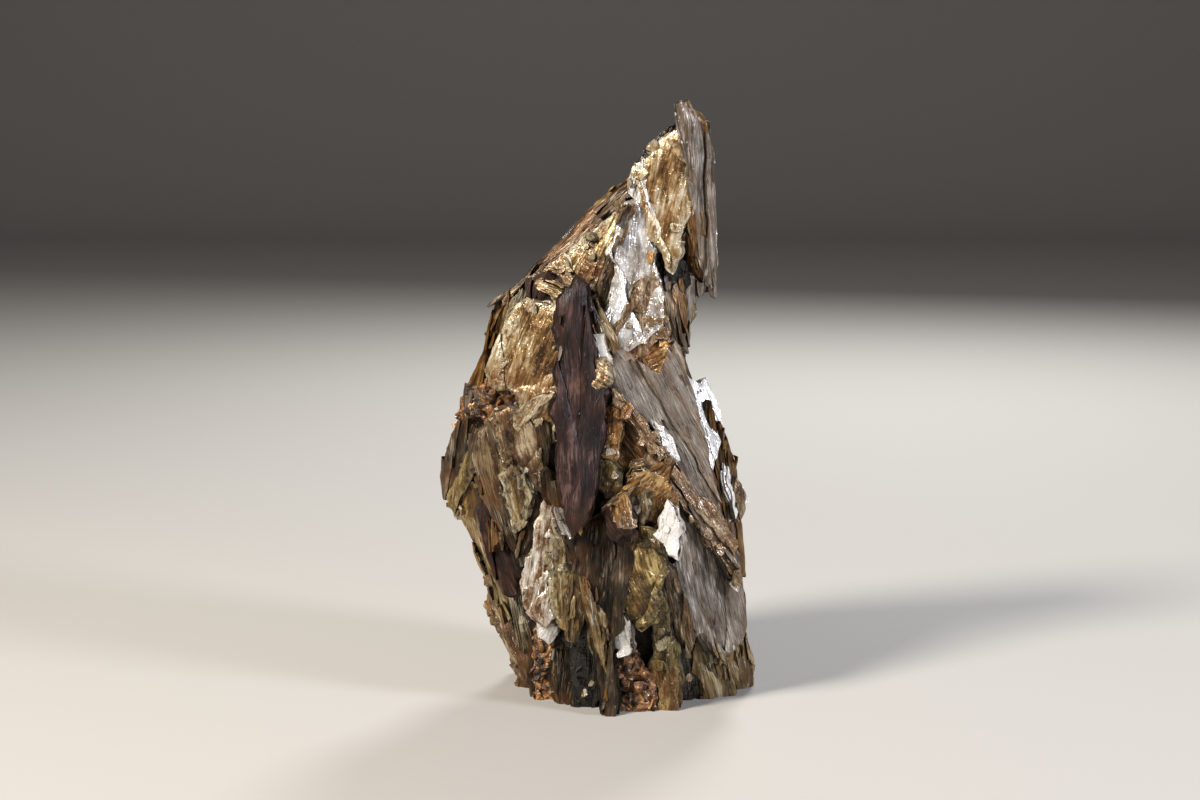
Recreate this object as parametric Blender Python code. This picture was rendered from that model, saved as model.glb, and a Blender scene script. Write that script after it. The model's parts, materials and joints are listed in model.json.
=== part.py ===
"""A standing mica crystal specimen, 147 mm tall: dozens of books of mica, stacks of thin
sheets, grown together at steep angles round a common core, as one solid.

Run it with: blender --background --python part.py

+Z is up, +X is to the right and -Y is the front. The origin is on the flat base, under the
middle of the specimen. The tables are in table units: the specimen is TABLE_HEIGHT of them
tall, so that at its real size a unit is a millimetre.
"""

import bmesh
import bpy
import math
import random
from mathutils import Matrix, Vector

# Driving dimensions, in metres
HEIGHT = 0.1473         # from the base to the tip

# Proportions, in table units
TABLE_HEIGHT = 147.3    # the specimen's height in the tables
UNIT = HEIGHT / TABLE_HEIGHT
BASE_DROP = 6.0         # how far the books are drawn below the base before it is cut flat
EYE_DISTANCE = 583.0    # the books are laid out as seen from this far away,
EYE_TILT = 8.0          # from this many degrees above level,
EYE_AIM = 72.7          # looking at this height on the middle line
LEDGE_DROP = 1.3        # a book's rim steps down by this much
LEDGE_OUT = 0.9         # and out by this much
ROOT_IN = 0.8           # the root of a book is this much narrower all round
LEDGE_FROM = 10.5       # only books that reach further than this have the ledge
CORE_SIDES = 12         # corners in each section of the core
CORE_SWELL = (0.94, 1.04)   # how unevenly the core's corners stand out
GROUND = (300.0, 300.0, 30.0)   # the block that cuts the base flat
SIDES_SAMPLED = 180     # points tried round a section to find how far out it reaches

# The core's sections: height, middle x, middle y, half width, half depth
CORE = [
    (-BASE_DROP, 8.5, 1.0, 23.0, 19.0),
    (12.0, 6.5, 1.0, 25.0, 21.0),
    (30.0, 2.5, 1.0, 28.0, 22.0),
    (50.0, -1.5, 1.0, 29.5, 22.0),
    (66.0, -3.0, 1.5, 27.0, 20.5),
    (82.0, -2.5, 2.0, 23.0, 18.0),
    (97.0, 2.5, 2.5, 20.0, 15.0),
    (112.0, 11.0, 2.5, 15.0, 11.5),
    (126.0, 18.0, 2.0, 8.8, 8.5),
    (138.0, 20.5, 1.5, 5.0, 5.0),
    (145.0, 21.0, 1.0, 1.5, 1.8),
]

# Front books. Each outline is (x, height) as seen from the front. proud is how far the middle
# stands out of the core, turn how far the face is turned to the right and pitch how far it looks
# up, in degrees; thick is how deep the book goes, and crown how far its middle swells.
FRONT = [
    # The summit: a tall blade seen nearly edge on, and the shell of sheets beside it
    ("summit_blade", dict(proud=8.5, turn=38, thick=2.6), [
        (21, 147), (24.5, 142.5), (27, 138), (28.3, 133), (28.5, 122), (28.5, 112), (29.2, 106),
        (29, 101.5), (27.3, 99.5), (26.5, 104.5), (25.7, 109.5), (24.7, 115.7), (23.7, 122),
        (22.8, 128.3), (22.3, 133.3), (21.3, 138.3), (20.2, 142.5), (19.7, 146)]),
    ("blade_lining", dict(proud=6.0, turn=32, thick=4.0), [
        (21.5, 130), (23.4, 130), (24, 122), (25.2, 114), (26.4, 106.5), (26.3, 101.5),
        (24.3, 105.5), (22.5, 111), (21.5, 117.5)]),
    ("summit_tip", dict(proud=6.5, turn=-18, pitch=-4, thick=4.0), [
        (19.5, 146.3), (21, 147), (22.5, 144), (23.5, 141), (24, 136.5), (22.5, 134), (21, 136),
        (19.3, 141.5)]),
    ("golden_shell", dict(proud=4.0, turn=-10, pitch=4, thick=7.0, crown=1.2), [
        (20.7, 139), (18, 138.3), (15, 136.5), (12.7, 133.3), (11.5, 130), (11.5, 125.7),
        (12.5, 120.7), (14, 115.7), (15, 110.7), (16.3, 106), (17.7, 104.5), (19.5, 108.3),
        (21, 113.3), (22, 118.3), (22.7, 124.5), (23, 130.7), (22.5, 135.7)]),
    ("shell_rim", dict(proud=1.8, turn=-14, pitch=6, thick=8.0), [
        (23, 141), (19, 140.5), (15, 138.3), (12.2, 135.3), (10.3, 132), (9.8, 127), (11, 121),
        (13, 115), (17, 112), (21, 118), (23, 130)]),
    ("silver_curl", dict(proud=4.2, turn=-22, pitch=5, thick=7.0), [
        (10.5, 132.5), (9, 130), (7.3, 127.5), (7.3, 124.5), (8.5, 122), (10.5, 119),
        (11.7, 115), (13, 110.7), (14, 107.5), (14.3, 112), (13.5, 117), (12.3, 121.3),
        (11.5, 125), (11.3, 129.5)]),
    ("long_ridge", dict(proud=4.6, turn=-12, pitch=8, thick=15.0), [
        (8.5, 127.5), (3, 123.5), (0, 120.7), (-4.3, 117.3), (-8.7, 113), (-13.7, 108),
        (-18.7, 103), (-23, 99), (-25.3, 97.5), (-24.5, 95.3), (-21.3, 97.3), (-16.3, 101.3),
        (-12, 105), (-7.5, 109.2), (-2.5, 114.4), (1.7, 118.3), (6.3, 122.3), (8.5, 124.8)]),
    ("ridge_flake", dict(proud=0.5, turn=-12, pitch=8, thick=9.0), [
        (7, 127.2), (3, 124.9), (-0.8, 121.8), (-2.9, 119.2), (-3.2, 116.5), (0, 118.5),
        (5, 123)]),
    ("ridge_lower_flake", dict(proud=-1.0, turn=-12, pitch=8, thick=9.0), [
        (-5.3, 116.9), (-9, 113.6), (-10.6, 110), (-7, 111)]),
    ("upper_gold", dict(proud=1.6, turn=-16, pitch=10, thick=7.0), [
        (6.7, 121), (4, 119.5), (0, 116), (-4.3, 111.5), (-8.5, 107), (-11, 103), (-10, 98),
        (-6.3, 95), (-0.5, 95), (2.5, 103), (4.5, 110.7), (6.3, 117)]),
    ("gold_fan", dict(proud=3.2, turn=-24, pitch=6, thick=8.0), [
        (-9.5, 107.8), (-13.7, 105), (-16.5, 102.3), (-13.7, 100.5), (-10.5, 98), (-7, 96.5),
        (-5.8, 100.7), (-7, 105)]),
    ("brown_wedge", dict(proud=4.2, turn=-6, pitch=9, thick=7.0), [
        (6.5, 121.5), (7.7, 121), (6.5, 114.5), (4.9, 107.5), (3.7, 100.7), (2.9, 94.5),
        (1.5, 90), (-0.5, 92.5), (-1, 97), (0.5, 103.3), (2.5, 109.5), (4.5, 115.7)]),
    ("silver_wall", dict(proud=3.4, turn=4, pitch=10, thick=9.0), [
        (8.5, 122), (10.7, 119.5), (12.5, 115.7), (13.5, 110.7), (13.7, 105.7), (15, 100.7),
        (16, 94.5), (15.5, 89.5), (12.5, 86), (8, 84.5), (4.5, 85), (3, 90.7), (2.3, 95.7),
        (3, 102), (4.7, 108.3), (6.7, 115)]),
    ("stained_foot", dict(proud=4.6, turn=10, pitch=4, thick=8.0), [
        (9.5, 102), (13.7, 104), (15.9, 97), (16.2, 89.5), (12.5, 85), (6.3, 83.5), (4, 86.5),
        (5, 92.5), (7.5, 97)]),
    ("hollow_lobe", dict(proud=0.6, turn=14, pitch=-4, thick=7.0), [
        (18.5, 107.5), (21.5, 106), (23, 101.5), (20.5, 98.5), (17.8, 100), (16.5, 104.5)]),
    ("strip_left", dict(proud=4.0, turn=20, pitch=6, thick=8.0), [
        (14.3, 106.5), (16.3, 102), (18.3, 99), (19.5, 93.3), (20.9, 87.5), (21.6, 83.5),
        (20, 83), (18, 87), (16, 93), (14.5, 99.5)]),
    ("strip_middle", dict(proud=3.4, turn=30, pitch=6, thick=8.0), [
        (18.5, 100.5), (20.5, 101.8), (21.3, 97), (21.5, 90.7), (21.2, 85.7), (20.6, 83.5),
        (19.4, 90.7), (18.4, 95.7)]),
    ("strip_right", dict(proud=4.4, turn=42, pitch=4, thick=7.0), [
        (21.3, 102.5), (24.3, 104), (26.3, 102.5), (27.5, 100), (25.5, 97.8), (24.2, 95),
        (23.2, 91.5), (22, 87), (21.2, 83.5), (20.8, 87), (20.6, 94.5)]),
    ("strip_knob", dict(proud=4.6, turn=30, thick=5.0), [
        (22.6, 96.5), (24.2, 95.3), (24, 92.5), (22.6, 90.4), (21.6, 93)]),
    # The shoulder: the golden plate on the left, the purple blade, the grey sheet on the right
    ("red_cap", dict(proud=4.4, turn=-16, pitch=10, thick=8.0), [
        (-18.5, 102), (-14.7, 103), (-12, 100.5), (-9.3, 97), (-11, 92.5), (-14.5, 93.5),
        (-18.5, 95.5)]),
    ("pale_crest", dict(proud=5.6, turn=-14, pitch=24, thick=6.0), [
        (-15.5, 103), (-12.5, 102.5), (-9.3, 99.8), (-7.3, 101), (-7.8, 97.7), (-10, 96.3),
        (-12.5, 98.6), (-15, 100.6)]),
    ("left_gold", dict(proud=4.6, turn=-24, pitch=6, thick=9.0, crown=0.9), [
        (-18.5, 97), (-15, 95.8), (-11.3, 94.3), (-10.5, 88.3), (-10.7, 80.7), (-11, 74),
        (-13.3, 71.8), (-15.5, 69.5), (-18, 70.3), (-20.5, 72.7), (-23, 74.7), (-25.7, 74.4),
        (-28, 76.2), (-28.5, 80.5), (-27, 84.3), (-24.3, 89.3), (-21.5, 94)]),
    ("gold_tooth", dict(proud=4.2, turn=-10, pitch=-6, thick=9.0), [
        (-19, 70.5), (-16.3, 72.5), (-13, 74), (-10.8, 73.5), (-9.7, 70), (-9.5, 66.5),
        (-11.4, 63.3), (-14, 62.2), (-17, 63.4), (-19.3, 66.5)]),
    ("left_strip", dict(proud=1.4, turn=-48, pitch=8, thick=9.0), [
        (-25.5, 97.8), (-23, 98.5), (-20, 97), (-21.5, 93), (-24.5, 88), (-27, 83.5),
        (-28, 79), (-29, 74.5), (-32, 73), (-32.5, 75.5), (-30.5, 80), (-28.3, 84.5),
        (-27.5, 90.7)]),
    ("purple_blade", dict(proud=8.6, turn=-3, pitch=9, thick=13.0, crown=0.8), [
        (-9.3, 99.5), (-6.5, 101), (-3, 100), (-0.5, 96.5), (1, 91.5), (0.7, 85.7), (0.9, 80.7),
        (2.5, 77), (2.7, 72.5), (1.2, 65.7), (0.5, 58.3), (0, 50.7), (-2, 44.5), (-4.3, 40),
        (-6.5, 36.3), (-8.3, 40.7), (-9.5, 49), (-10.7, 58.3), (-11.3, 67), (-10.9, 77),
        (-10.9, 87), (-10.3, 95)]),
    ("feathered_splinter", dict(proud=6.0, turn=8, pitch=14, thick=8.0), [
        (-1, 97.3), (1, 95), (3, 91.5), (4.3, 87.5), (3.9, 84), (1.7, 86.5), (-0.3, 91.5)]),
    ("pink_bead", dict(proud=8.2, turn=6, pitch=4, thick=9.0), [
        (0, 89.5), (1.7, 88.3), (2.5, 84.5), (1.8, 81.2), (0, 82), (-0.9, 86.3)]),
    ("banded_rib", dict(proud=10.0, turn=-14, thick=10.0, crown=0.8), [
        (2.3, 82.7), (3.6, 80.5), (3.9, 77), (3.1, 73.6), (1.3, 74.6), (-0.5, 77.7),
        (-0.5, 80.5)]),
    ("amber_cluster", dict(proud=5.0, turn=10, pitch=16, thick=9.0), [
        (6.5, 84.8), (10, 88), (13.7, 88.8), (17.2, 87.3), (17.2, 83), (15.5, 78.5), (12, 79.5),
        (8.5, 81.8)]),
    ("grey_sheet", dict(proud=7.6, turn=20, pitch=8, thick=12.0), [
        (3, 85.7), (5.5, 84.7), (9, 82.7), (12.5, 80.2), (15, 79.2), (16.7, 84), (18.7, 87.5),
        (20.5, 84), (21.4, 79), (22.9, 74.5), (24.7, 68.3), (26.7, 60.7), (28.7, 52),
        (30.7, 44.5), (33, 37), (35, 30.7), (32.7, 32.6), (29, 39), (25, 45.2), (21, 52),
        (16.3, 59), (11.3, 65.2), (7, 69.5), (3.7, 72.6), (3, 78.3)]),
    ("grey_sheet_rim", dict(proud=9.0, turn=14, pitch=6, thick=10.0), [
        (3.3, 74.3), (7, 70.7), (11.3, 66.5), (15.7, 60.2), (20, 54.2), (19, 52), (16, 54.8),
        (13.7, 56.8), (10.5, 62.4), (6.5, 67.5), (3.3, 70.8)]),
    ("white_lens", dict(proud=9.4, turn=30, pitch=8, thick=3.5), [
        (14, 66.7), (15.9, 64.7), (18, 61), (19.8, 56.6), (17.8, 58.6), (15.3, 62.3)]),
    ("white_plate", dict(proud=0.0, turn=44, pitch=24, thick=8.0), [
        (20.7, 78), (23, 76.5), (24.5, 75.7), (26.5, 76.7), (27.8, 74.5), (29.1, 71.5),
        (30.1, 67.5), (30.3, 63), (29.5, 59), (27.7, 55), (25, 56), (23, 63), (21, 70)]),
    ("right_strip", dict(proud=1.2, turn=56, pitch=4, thick=9.0), [
        (29, 70.7), (30.4, 65.7), (32, 61.5), (33.7, 56.5), (34.5, 49.5), (34.9, 42),
        (35.7, 34.5), (36.2, 28.3), (34.5, 24), (32.5, 31), (30.5, 40), (28.7, 49.5),
        (28.0, 56.5), (29.4, 61.5)]),
    ("white_sliver", dict(proud=5.2, turn=62, pitch=10, thick=6.0), [
        (31.4, 55.5), (33, 52.7), (34.1, 48.3), (34.7, 44), (33.7, 41.5), (32.3, 47),
        (31.3, 51.5)]),
    ("tan_knob", dict(proud=4.6, turn=60, thick=8.0), [
        (34.2, 52.5), (35.8, 51.2), (36.6, 48.3), (36.3, 45), (34.9, 42), (33.8, 45.7),
        (33.6, 49.5)]),
    # The pocket under the grey sheet
    ("amber_plate", dict(proud=6.6, turn=-12, pitch=4, thick=9.0), [
        (0.6, 65), (1.4, 68.5), (3.3, 70.7), (5, 70), (5.3, 65.7), (4.6, 60.7), (3.2, 57.3),
        (1.2, 58.8), (0.4, 62)]),
    ("olive_plate", dict(proud=5.4, turn=-8, pitch=-4, thick=9.0), [
        (0.7, 55.2), (3, 56.2), (5, 53.3), (5, 49.3), (3, 47), (0.5, 48.5)]),
    ("rust_pocket", dict(proud=3.6, turn=6, pitch=4, thick=9.0), [
        (5, 70), (8.2, 67), (11.5, 62.5), (14.5, 57.5), (12.2, 54.8), (8.6, 51.8), (5.3, 49),
        (4.3, 55.7), (4.7, 62)]),
    ("arch_rib", dict(proud=9.2, turn=2, pitch=26, thick=10.0), [
        (2.5, 46.2), (5.3, 49.5), (8.5, 52.7), (11.7, 55.8), (15, 57.3), (18.2, 56.3),
        (17.3, 53.2), (13.7, 54), (10.7, 52.4), (7.5, 49.2), (4.5, 45.8)]),
    ("rust_roof", dict(proud=8.0, turn=4, pitch=-24, thick=9.0), [
        (8.7, 52.7), (12, 53.9), (15, 53), (17.2, 51), (18.2, 47), (16, 47.8), (13, 50),
        (10, 50.3), (8.2, 50)]),
    ("lower_rim", dict(proud=8.8, turn=24, pitch=6, thick=11.0), [
        (15.3, 57.8), (20, 54.7), (25, 47.2), (30, 38.6), (34.7, 29.5), (34, 25.8), (30.5, 31.3),
        (26.3, 37.5), (22.5, 43.3), (18.5, 48.8), (15.7, 53.5)]),
    ("tan_flake", dict(proud=6.2, turn=-14, pitch=2, thick=8.0), [
        (7.8, 49.3), (10, 51), (11.6, 50.3), (12, 45.7), (11, 41.5), (9, 39.8), (7.2, 42.7),
        (7.2, 46.5)]),
    ("olive_flake", dict(proud=6.6, turn=14, pitch=-4, thick=8.0), [
        (11.7, 50.4), (14.3, 49.5), (16.3, 47.2), (16.4, 44), (14.5, 40.5), (12.3, 41.3),
        (11.4, 45.7)]),
    # The lower right: a pink plate over a golden bulge, and a broad striated sheet
    ("pink_plate", dict(proud=11.6, turn=-8, pitch=6, thick=9.0), [
        (17, 46.3), (18.5, 44.7), (19.5, 41.5), (19.9, 37), (19.8, 32.7), (17.5, 33.4),
        (15.5, 36), (13.5, 38.3), (14.9, 42)]),
    ("gold_bulge", dict(proud=7.0, turn=2, pitch=-2, thick=9.0, crown=2.6), [
        (10, 39.5), (13, 39.3), (15.1, 36.8), (16.2, 33), (16.3, 27), (15.1, 20.7), (13, 16),
        (10, 14.3), (7.4, 17.2), (6.1, 22), (6.6, 28.3), (7.8, 34.4)]),
    ("right_lower_sheet", dict(proud=7.6, turn=22, pitch=4, thick=12.0), [
        (18, 47), (22, 46.2), (25, 43), (29, 37.5), (33, 32.3), (35.7, 27), (36.6, 20.7),
        (36.6, 15), (35.7, 10.5), (32.5, 8), (29, 8.5), (25.3, 13.6), (22.2, 19.5),
        (19.6, 25.5), (19, 32), (19.4, 38.3)]),
    ("right_foot", dict(proud=6.4, turn=46, thick=13.0), [
        (33.5, 13.5), (36.5, 12.7), (38.4, 10), (39.5, 6), (39.3, 1), (38.5, -9), (32, -9),
        (31.2, 2), (31, 8)]),
    ("olive_leg", dict(proud=6.6, turn=-10, pitch=-2, thick=10.0), [
        (13.8, 24), (16, 23), (17.3, 17), (18.3, 10.7), (19.3, 5), (20, -9), (13.5, -9),
        (12.9, 5), (13.2, 12), (13.9, 18)]),
    ("brown_leg", dict(proud=8.0, turn=12, pitch=-4, thick=10.0), [
        (16, 31), (18.6, 30), (20.8, 24.5), (22.8, 18.3), (23.9, 12), (22.2, 9), (19.7, 13.8),
        (17.6, 20.3), (15.9, 25.7)]),
    ("black_seam", dict(proud=1.2, turn=14, thick=7.0), [
        (21, 21.5), (23.8, 20.2), (26, 13.3), (27.6, 8.3), (28, -9), (21.5, -9), (20, 8.3)]),
    ("corner_block", dict(proud=6.2, turn=16, pitch=2, thick=13.0), [
        (25.2, 12.5), (29, 11), (32.3, 9.5), (34.5, 5), (35, -9), (25.5, -9), (25, 4.5)]),
    # The middle foot: mossy slab, splinters and teeth
    ("brown_rock", dict(proud=9.0, turn=-4, pitch=8, thick=10.0), [
        (0.8, 45), (3.5, 48), (6.7, 46.4), (8.8, 43), (7.8, 38.6), (4.5, 36.5), (1.4, 39.3)]),
    ("amber_nugget", dict(proud=10.0, turn=10, pitch=4, thick=8.0), [
        (4, 46.7), (6.3, 47.9), (8.3, 45.7), (8.3, 42), (6.4, 40.2), (4.1, 42.4)]),
    ("middle_slab", dict(proud=7.4, turn=-4, pitch=5, thick=12.0), [
        (-6.3, 36), (-3.5, 41), (0, 44.2), (4.5, 42.3), (8.7, 38), (8.4, 32), (7, 25),
        (5.7, 19.3), (3.4, 15.5), (3.2, 9.5), (4, 3), (4, -9), (0.5, -9), (-1.2, 9.5),
        (-2.9, 19.5), (-4.7, 27)]),
    ("silver_chip", dict(proud=8.6, turn=-10, thick=9.0), [
        (3.1, 17), (5.6, 17.6), (7.2, 13.5), (7.8, 9.5), (5.7, 8.3), (3.8, 11.8)]),
    ("rust_foot", dict(proud=6.8, turn=-2, pitch=4, thick=12.0), [
        (2.6, 12.5), (5.5, 10), (8.7, 9.5), (10.3, 5.3), (13.2, 2.3), (14, -9), (3.6, -9),
        (2, 6)]),
    ("pale_splinter", dict(proud=9.4, turn=14, pitch=4, thick=8.0), [
        (-4.7, 27.5), (-2.8, 26.7), (-1.2, 22), (0.3, 15.7), (1.6, 9.5), (2, 5.3), (0.1, 7.4),
        (-2, 13.7), (-4, 20.7)]),
    ("dark_beads", dict(proud=5.2, turn=0, thick=9.0), [
        (-6.2, 14.6), (-3.5, 15.4), (-1.8, 12), (-1.3, 7), (-1.5, -9), (-6.8, -9), (-7, 4),
        (-7, 10)]),
    ("base_splinter_left", dict(proud=6.2, turn=-18, pitch=6, thick=9.0), [
        (-17.5, 12), (-15, 13), (-13.3, 9), (-12.5, 3), (-12.5, -9), (-16.5, -9), (-18, 4)]),
    ("base_splinter_middle", dict(proud=6.6, turn=6, pitch=5, thick=9.0), [
        (-11.2, 10), (-8.6, 11.2), (-7.2, 6), (-7, -9), (-10.5, -9), (-11.8, 3)]),
    ("tan_tooth", dict(proud=8.2, turn=-12, pitch=4, thick=9.0), [
        (-7.6, 29.5), (-4.4, 29.9), (-4.1, 23.3), (-5.1, 17), (-6.4, 11.5), (-8.6, 12.5),
        (-8.7, 19), (-8.1, 24.5)]),
    ("long_shard", dict(proud=6.4, turn=12, pitch=5, thick=9.0), [
        (-13.2, 53), (-10.8, 51.5), (-8.3, 46.5), (-6.6, 40), (-4.9, 32), (-3.8, 24),
        (-6, 25), (-7.8, 33.6), (-10.3, 42), (-12.6, 47.3)]),
    ("gold_column", dict(proud=6.6, turn=14, pitch=4, thick=10.0, crown=0.8), [
        (-12, 47), (-9.9, 45.5), (-8.1, 40), (-7.1, 33.3), (-7.1, 25.7), (-7.8, 19.6),
        (-10, 16.3), (-12.2, 18.6), (-13.2, 24.5), (-12.9, 32), (-12.3, 39.5)]),
    ("pale_flake", dict(proud=8.0, turn=20, pitch=10, thick=6.0), [
        (-10.9, 46), (-9.2, 44.3), (-7.5, 41), (-7.5, 37.5), (-9.6, 39), (-10.9, 42.5)]),
    ("silver_column", dict(proud=7.6, turn=-16, pitch=6, thick=10.0, crown=0.6), [
        (-13.4, 47.2), (-11.5, 43.3), (-11.8, 35.7), (-12.4, 28.3), (-12, 22), (-10.7, 16.9),
        (-13.5, 15.3), (-16.5, 17), (-18.8, 20.6), (-19.8, 25), (-18.2, 30.7), (-16.2, 38.3),
        (-14.9, 44)]),
    ("silver_toe", dict(proud=6.8, turn=-6, pitch=-14, thick=9.0), [
        (-16.5, 18), (-13.5, 17), (-10.5, 18.3), (-10.2, 14.4), (-12.5, 11.5), (-15.2, 12.3)]),
    ("toe_rock", dict(proud=4.4, turn=-10, pitch=2, thick=12.0), [
        (-16.5, 14), (-12, 13), (-7.5, 13.5), (-6.5, 6), (-6.5, -9), (-15.5, -9), (-17, 6)]),
    # The left flank: crumbly rust, fans of striated sheets, and the olive books behind them
    ("rust_crumb", dict(proud=3.0, turn=-30, pitch=14, thick=11.0, crown=1.2), [
        (-32.5, 75), (-29, 76.2), (-25.5, 75), (-24.3, 71.5), (-26.5, 68.5), (-29, 66.5),
        (-30, 63), (-32.5, 60.8), (-34.6, 64), (-35.9, 69), (-35.5, 72.9)]),
    ("outer_blade", dict(proud=2.2, turn=-54, thick=10.0), [
        (-35.3, 68), (-32.8, 65), (-31, 61.5), (-32.5, 56.5), (-35, 50.5), (-37.3, 46.6),
        (-39, 47.5), (-39.8, 52.5), (-38.6, 59), (-36.8, 64.5)]),
    ("left_olive", dict(proud=4.4, turn=-38, pitch=-8, thick=11.0), [
        (-32.7, 60), (-30.8, 56.5), (-29.8, 52), (-29.5, 47), (-30.2, 41.6), (-33, 40),
        (-35.2, 42.2), (-36.9, 44.8), (-37.7, 47.5), (-35.9, 52)]),
    ("striated_fan", dict(proud=6.8, turn=-26, pitch=3, thick=11.0), [
        (-31, 64.3), (-29, 67), (-26.3, 66), (-24.7, 60.7), (-23.4, 53.3), (-22.7, 47),
        (-21.4, 40), (-22.1, 34.4), (-24.5, 36.6), (-27.5, 43), (-30.4, 50.7), (-32.5, 57.5)]),
    ("brown_lobe", dict(proud=4.8, turn=-10, pitch=-3, thick=10.0, crown=1.0), [
        (-26.5, 68.5), (-23, 70), (-19.2, 68), (-16.3, 64.2), (-14.3, 59), (-13.2, 53.3),
        (-14.6, 48.2), (-18, 50.6), (-21, 53), (-24.5, 52.5), (-25.5, 60)]),
    ("silver_ripples", dict(proud=6.2, turn=-8, pitch=-6, thick=9.0), [
        (-24.5, 53.4), (-21.5, 54.8), (-18.3, 53), (-17, 49), (-17.7, 44), (-19.6, 39.7),
        (-21.9, 41.1), (-23.6, 45.7)]),
    ("dark_gap_book", dict(proud=1.6, turn=6, thick=8.0), [
        (-16.5, 66), (-13, 64.5), (-10.5, 60.7), (-9.5, 52), (-10.5, 46), (-14, 45.5),
        (-15.3, 53.3), (-16.2, 59.5)]),
    ("brown_shard", dict(proud=3.6, turn=-4, pitch=4, thick=9.0), [
        (-17.6, 50.5), (-14, 49.5), (-12.8, 47.5), (-15.3, 41), (-18, 33.5), (-20, 29.5),
        (-20.6, 34), (-18.6, 42)]),
    ("purple_lobe", dict(proud=5.6, turn=-20, pitch=2, thick=11.0), [
        (-29.8, 47.5), (-27, 42.3), (-24.3, 37.3), (-22, 35.3), (-19.3, 39.8), (-17.3, 41.8),
        (-17.7, 35.7), (-19.7, 29), (-22, 23.3), (-24.5, 23.8), (-26.8, 28.7), (-28.6, 35.7),
        (-29.8, 41.5)]),
    ("left_gold_strip", dict(proud=5.0, turn=-34, pitch=-4, thick=10.0), [
        (-32.8, 42), (-29.8, 42), (-28, 36.5), (-26.2, 30), (-24, 24), (-22.2, 18.7),
        (-23.2, 16.4), (-25.8, 20), (-28.3, 25.4), (-30.8, 33), (-32.5, 37.5)]),
    ("left_foot", dict(proud=3.4, turn=-30, pitch=-4, thick=12.0), [
        (-28.2, 29.5), (-26.2, 25), (-24.3, 20), (-21, 15), (-17.5, 10), (-15.5, 2),
        (-15.5, -9), (-19.5, -9), (-21.5, 6), (-25, 13), (-28, 19)]),
]

# Broken outlines, one unit wide and one long: a sheet, a splinter and a wedge
SHAPES = [
    [(-0.5, -0.34), (-0.2, -0.5), (0.24, -0.44), (0.36, -0.28), (0.5, -0.2), (0.46, 0.22),
     (0.2, 0.5), (-0.1, 0.44), (-0.3, 0.46), (-0.48, 0.14)],
    [(-0.5, -0.16), (-0.38, -0.38), (-0.1, -0.5), (0.3, -0.42), (0.46, -0.2), (0.5, 0.14),
     (0.3, 0.4), (0.02, 0.5), (-0.3, 0.34), (-0.44, 0.1)],
    [(-0.5, -0.44), (0.0, -0.5), (0.5, -0.4), (0.42, 0.0), (0.34, 0.3), (0.1, 0.5),
     (-0.16, 0.46), (-0.3, 0.2), (-0.44, -0.1)],
]

# Books on the flanks and back, as (azimuth, across, height, width, length, lean, proud, turn,
# pitch, thick). Azimuth is the side that the book is laid out from: 90 is the right, 180 the back
# and -90 the left. across is measured to the right as seen from that side, and lean in degrees.
ROUND = [
    # right side
    (90, 2, 37, 20, 50, 6, 3.8, 4, 7, 12), (90, -11, 44, 10, 24, -6, 2.6, -26, 8, 10),
    (90, 15, 50, 12, 44, 8, 3.8, 26, 8, 11), (90, 4, 62, 12, 20, 14, 1.2, 8, 16, 10),
    (90, -5, 12, 15, 26, -8, 4.2, -8, 0, 12), (90, 10, 10, 13, 28, 12, 4.6, 14, 0, 12),
    (90, -3, 118, 10, 32, 6, 2.4, -8, 4, 7), (90, 6, 108, 12, 22, 10, 1.2, 12, 0, 8),
    (90, -7, 92, 10, 18, -10, 0.2, -16, 2, 8),
    # back right
    (135, 2, 62, 20, 44, -8, 3.2, 4, 13, 12), (135, 2, 110, 13, 34, -10, 2.4, 8, 6, 9),
    (135, -9, 34, 13, 40, 12, 4.4, -14, 4, 12),
    (135, 8, 30, 16, 44, -8, 5.2, 12, 2, 12), (135, -1, 8, 15, 24, 8, 4.2, 0, 0, 12),
    # back
    (180, -10, 98, 18, 60, -14, 5.0, -6, 10, 12), (180, 6, 58, 22, 70, 6, 6.4, 4, 8, 12),
    (180, -19, 118, 10, 34, -10, 3.0, 6, 10, 8), (180, 4, 97, 12, 30, -45, 3.8, 12, 16, 10),
    (180, 18, 70, 12, 32, -14, 4.2, 22, 12, 11), (180, -16, 54, 13, 48, 10, 5.4, -20, 6, 12),
    (180, 20, 42, 15, 42, -6, 4.8, 28, 4, 11), (180, -14, 20, 20, 44, -8, 6.2, -14, -2, 12),
    (180, 3, 14, 15, 30, 12, 5.6, 2, -2, 12), (180, 14, 12, 13, 26, -6, 4.4, 18, -6, 12),
    # back left, where the upper books climb along the ridge
    (225, -5, 103, 13, 30, -42, 2.2, 4, 30, 10), (225, 4, 86, 15, 28, -22, 2.6, 8, 22, 11),
    (225, -2, 58, 20, 58, 8, 5.0, -2, 8, 12), (225, -12, 84, 11, 34, -10, 4.4, -12, 12, 11),
    (225, 10, 48, 12, 32, -10, 3.6, 18, 2, 12), (225, -1, 18, 18, 34, -6, 3.8, 0, -6, 12),
    # left side, where the great cleavage face slopes up to the ridge
    (270, -7, 108, 14, 22, 6, 1.6, -4, 46, 9), (270, -10, 97, 13, 18, -6, 1.2, -14, 38, 9),
    (270, 5, 84, 11, 26, 4, 1.8, 12, 14, 10), (270, -6, 72, 14, 30, -6, 2.0, -14, 12, 11),
    (270, 0, 49, 18, 40, 6, 3.2, 0, 0, 12), (270, 13, 46, 11, 32, -6, 3.8, 26, 0, 11),
    (270, -12, 36, 12, 38, 10, 4.2, -22, -6, 12), (270, 3, 18, 12, 26, -6, 2.0, 6, -12, 12),
    (270, -9, 12, 12, 22, 6, 2.0, -14, -12, 12),
]


def clear_scene():
    for thing in list(bpy.data.objects):
        bpy.data.objects.remove(thing)


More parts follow.
